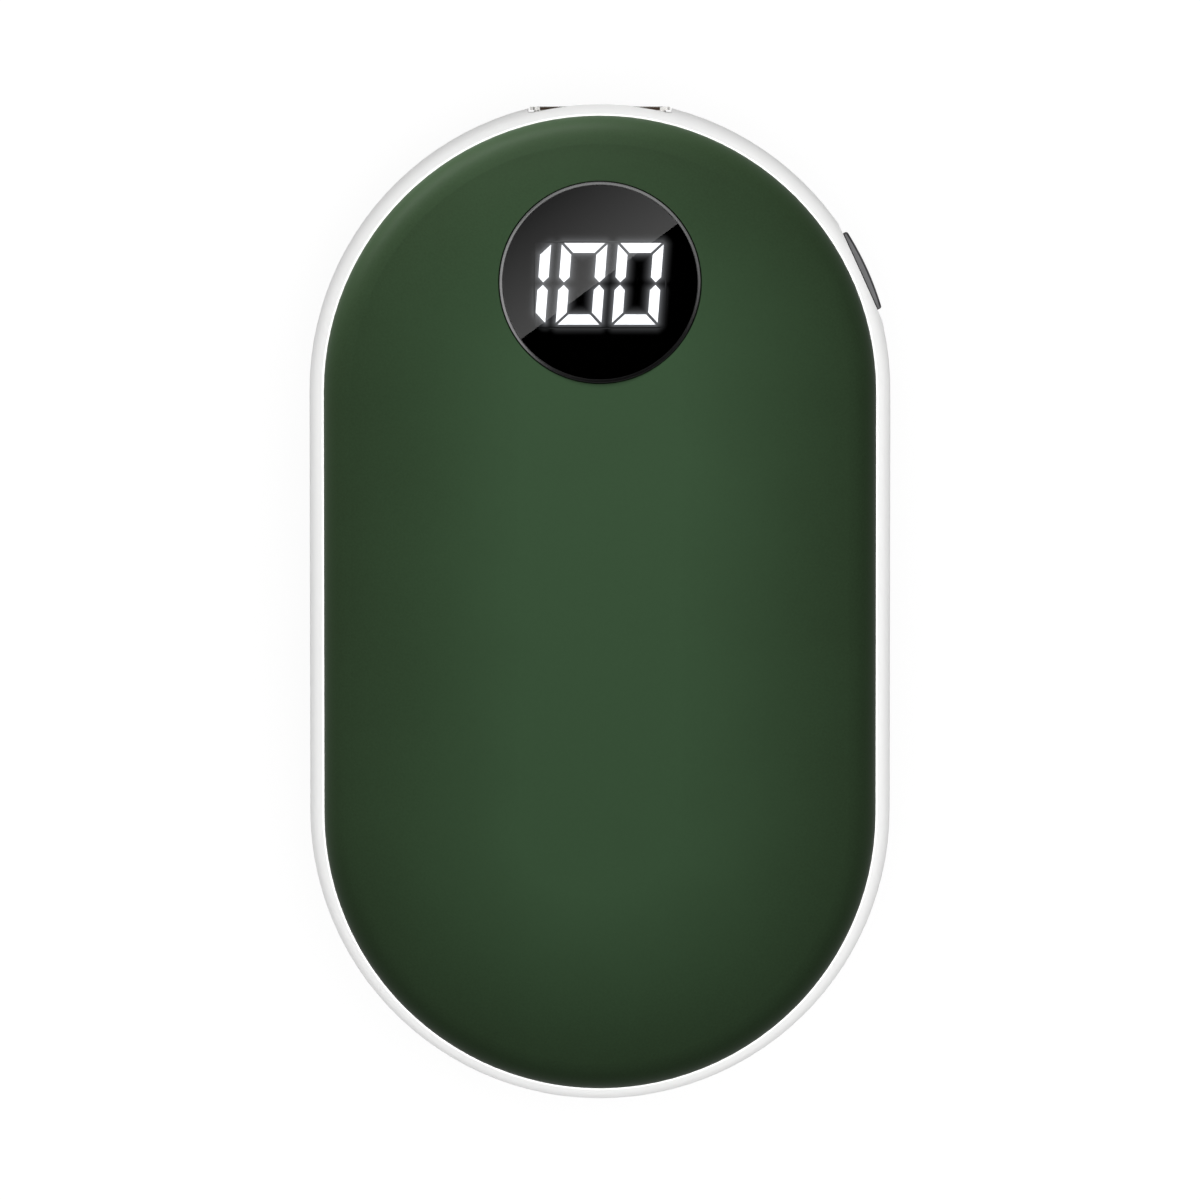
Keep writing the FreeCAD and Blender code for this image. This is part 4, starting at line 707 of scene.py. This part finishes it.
def outline_edges(triangles):
    """Corner points of a set of triangles and the edges that only one of them has."""
    places = {}
    uses = {}
    for triangle in triangles:
        numbers = []
        for point in triangle:
            place = (round(point.x, PLACE_DIGITS), round(point.y, PLACE_DIGITS))
            numbers.append(places.setdefault(place, len(places)))
        for edge in zip(numbers, numbers[1:] + numbers[:1]):
            key = tuple(sorted(edge))
            uses[key] = uses.get(key, 0) + 1
    return [Vector(place) for place in places], [edge for edge, count in uses.items() if count == 1]


lit_bars, lit_level = lit_triangles()

# Display lens: clear polished face, a bevel of the scene's own, and ink on the back round an opening, the
# ink carrying a painted glow near the lit bars
LENS_BEVEL = 0.28 * MM
BEVEL_SLOPE = math.radians(14)
LENS_EDGE_ROUND = 0.4 * MM
LENS_RIM_ROUND = 0.06 * MM
LENS_SUPPORT = 0.04 * MM
BEVEL_ROUGHNESS = 0.25
LENS_STEPS = 192
ROUND_STEPS = 5
SMOOTH_ANGLE = math.radians(24)
OPENING_HALF = (6.42 * MM, 4.16 * MM)
OPENING_SHIFT = -0.22 * MM
GLOW_HALF = (7.5 * MM, 5.2 * MM)
# Share of the painted glow that the lens's ink shows
INK_SHARE = 0.45
INK_GREY = 0.001
LENS_CLEAR, LENS_INKED, LENS_SIDE = range(3)


def rounded_corner(before, corner, after, radius):
    """Points of an arc that rounds one corner of a profile."""
    arriving = (corner - before).normalized()
    leaving = (after - corner).normalized()
    turn = arriving.angle(leaving)
    start = corner - arriving * radius * math.tan(turn / 2)
    inward = (leaving - arriving).normalized()
    centre = corner + inward * radius / math.cos(turn / 2)
    spoke = start - centre
    sense = math.copysign(1.0, arriving.x * leaving.y - arriving.y * leaving.x)
    points = []
    for step in range(ROUND_STEPS + 1):
        swing = Matrix.Rotation(sense * turn * step / ROUND_STEPS, 2)
        points.append(centre + swing @ spoke)
    return points


def lens_profile():
    """Half section of the lens from its face to its back, as (radius, height)."""
    face = Vector((LENS_RADIUS - LENS_BEVEL, 0.0))
    rim = Vector((LENS_RADIUS, -LENS_BEVEL * math.tan(BEVEL_SLOPE)))
    foot = Vector((LENS_RADIUS, -LENS_THICKNESS))
    upper = rounded_corner(Vector((0.0, 0.0)), face, rim, LENS_EDGE_ROUND)
    lower = rounded_corner(face, rim, foot, LENS_RIM_ROUND)
    return [Vector((upper[0].x - LENS_SUPPORT, 0.0))] + upper, lower + [foot]


def ring(mesh, radius, height):
    turns = [2 * math.pi * step / LENS_STEPS for step in range(LENS_STEPS)]
    return [mesh.verts.new((radius * math.cos(turn), radius * math.sin(turn), height)) for turn in turns]


def new_piece(name, mesh_data, materials):
    piece = bpy.data.objects.new(name, mesh_data)
    for material in materials:
        mesh_data.materials.append(material)
    scene.collection.objects.link(piece)
    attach(piece, "case")
    return piece


def in_opening(point, margin=0.0):
    """Whether a point of the lens lies in the ink's opening, or less than a margin outside it."""
    across = abs(point.x) < OPENING_HALF[0] + margin
    along = abs(point.y - OPENING_SHIFT) < OPENING_HALF[1] + margin
    return across and along


def fill_back(mesh, outline, extra):
    """Fills the back's ring with a clear opening and ink round it."""
    level = outline[0].co.z
    half_width, half_depth = OPENING_HALF
    corners = [(1, -1), (1, 1), (-1, 1), (-1, -1)]
    pane = [Vector((half_width * across, half_depth * along + OPENING_SHIFT)) for across, along in corners]
    verts = outline + [mesh.verts.new((*point, level)) for point in pane + extra]
    flat = [Vector(vert.co.xy) for vert in verts]
    rim = len(outline)
    edges = [(step, (step + 1) % rim) for step in range(rim)]
    edges += [(rim + step, rim + (step + 1) % len(pane)) for step in range(len(pane))]
    _, _, triangles, *_ = delaunay_2d_cdt(flat, edges, [], INSIDE_FACES, BACK_MERGE)
    for triangle in triangles:
        middle = sum((flat[index] for index in triangle), Vector((0.0, 0.0))) / len(triangle)
        face = mesh.faces.new([verts[index] for index in triangle])
        face.material_index = LENS_CLEAR if in_opening(middle) else LENS_INKED


def skirt(mesh, rings):
    """Joins rings one below the other."""
    for upper, lower in zip(rings, rings[1:]):
        for step in range(LENS_STEPS):
            following = (step + 1) % LENS_STEPS
            side = mesh.faces.new((upper[step], lower[step], lower[following], upper[following]))
            side.material_index = LENS_SIDE


def settled(mesh, name, layers):
    """Sets a piece of the lens in its place on the cover."""
    bmesh.ops.recalc_face_normals(mesh, faces=mesh.faces)
    mesh.transform(Matrix.Translation(LENS_CENTRE) @ Matrix.Rotation(-LENS_TILT, 4, "X"))
    data = bpy.data.meshes.new(name)
    mesh.to_mesh(data)
    mesh.free()
    data.shade_smooth()
    data.set_sharp_from_angle(angle=SMOOTH_ANGLE)
    # Painted glow for the ink on the lens's back, a share of that on the display
    spilled(data, INK_SHARE)
    return new_piece(name, data, layers)


def build_lens():
    upper, lower = lens_profile()
    layers = [finishes["lens_black"], glowing_black("lens_ink_painted_glow", INK_GREY), backed_black("lens_side", 0.0)]
    body = bmesh.new()
    face = [ring(body, point.x, point.y) for point in upper[:2]]
    sides = [ring(body, point.x, point.y) for point in lower[-2:]]
    skirt(body, face)
    skirt(body, sides)
    front = body.faces.new(face[0])
    front.material_index = LENS_CLEAR
    spread = grid([-half for half in GLOW_HALF], GLOW_HALF)
    fill_back(body, sides[-1], [point for point in spread if not in_opening(point, SPILL_STEP)])
    slope = bmesh.new()
    skirt(slope, [ring(slope, point.x, point.y) for point in upper[1:] + lower[:-1]])
    ground = layers[:LENS_SIDE] + [backed_black("lens_edge", BEVEL_ROUGHNESS)]
    return settled(body, "lens", layers), settled(slope, "lens_bevel", ground)


lens, bevel = build_lens()
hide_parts("display_lens")


def shine_on(lights, items):
    """Lets lights reach the items named and nothing else."""
    receivers = bpy.data.collections.new(lights[0].name + "_receivers")
    for item in items:
        receivers.objects.link(item)
    for light in lights:
        light.light_linking.receiver_collection = receivers


def build_painted_glow_sheet():
    """A fine sheet over the display between the lit bars that carries a painted glow of their spilled light.
    """
    points, edges = outline_edges(lit_bars)
    points += grid(*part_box("display_housing"))
    flat, _, faces, *_ = delaunay_2d_cdt(points, edges, [], ALL_FACES, SHEET_MERGE)
    places = np.array([tuple(point) for point in flat])
    middles = np.array([places[face].mean(axis=0) for face in faces])
    dark = distance_to(middles, lit_bars) > 0
    data = bpy.data.meshes.new("painted_glow_sheet")
    kept = [list(face) for face, keep in zip(faces, dark) if keep]
    used = sorted({index for face in kept for index in face})
    order = {index: number for number, index in enumerate(used)}
    corners = [(*places[index], lit_level + FACE_LIFT) for index in used]
    data.from_pydata(corners, [], [[order[index] for index in face] for face in kept])
    spilled(data)
    return new_piece("painted_glow_sheet", data, [glowing_black("display_glow", FACE_GREY)])


painted_glow_sheet = build_painted_glow_sheet()
shine_on([kicker, key, pool], [nodes["front_cover"]])
shine_on([band_light], [nodes["middle_frame"]])
shine_on(bevel_strips, [bevel])
shine_on([softbox], [floor, lens, painted_glow_sheet, *nodes.values()])
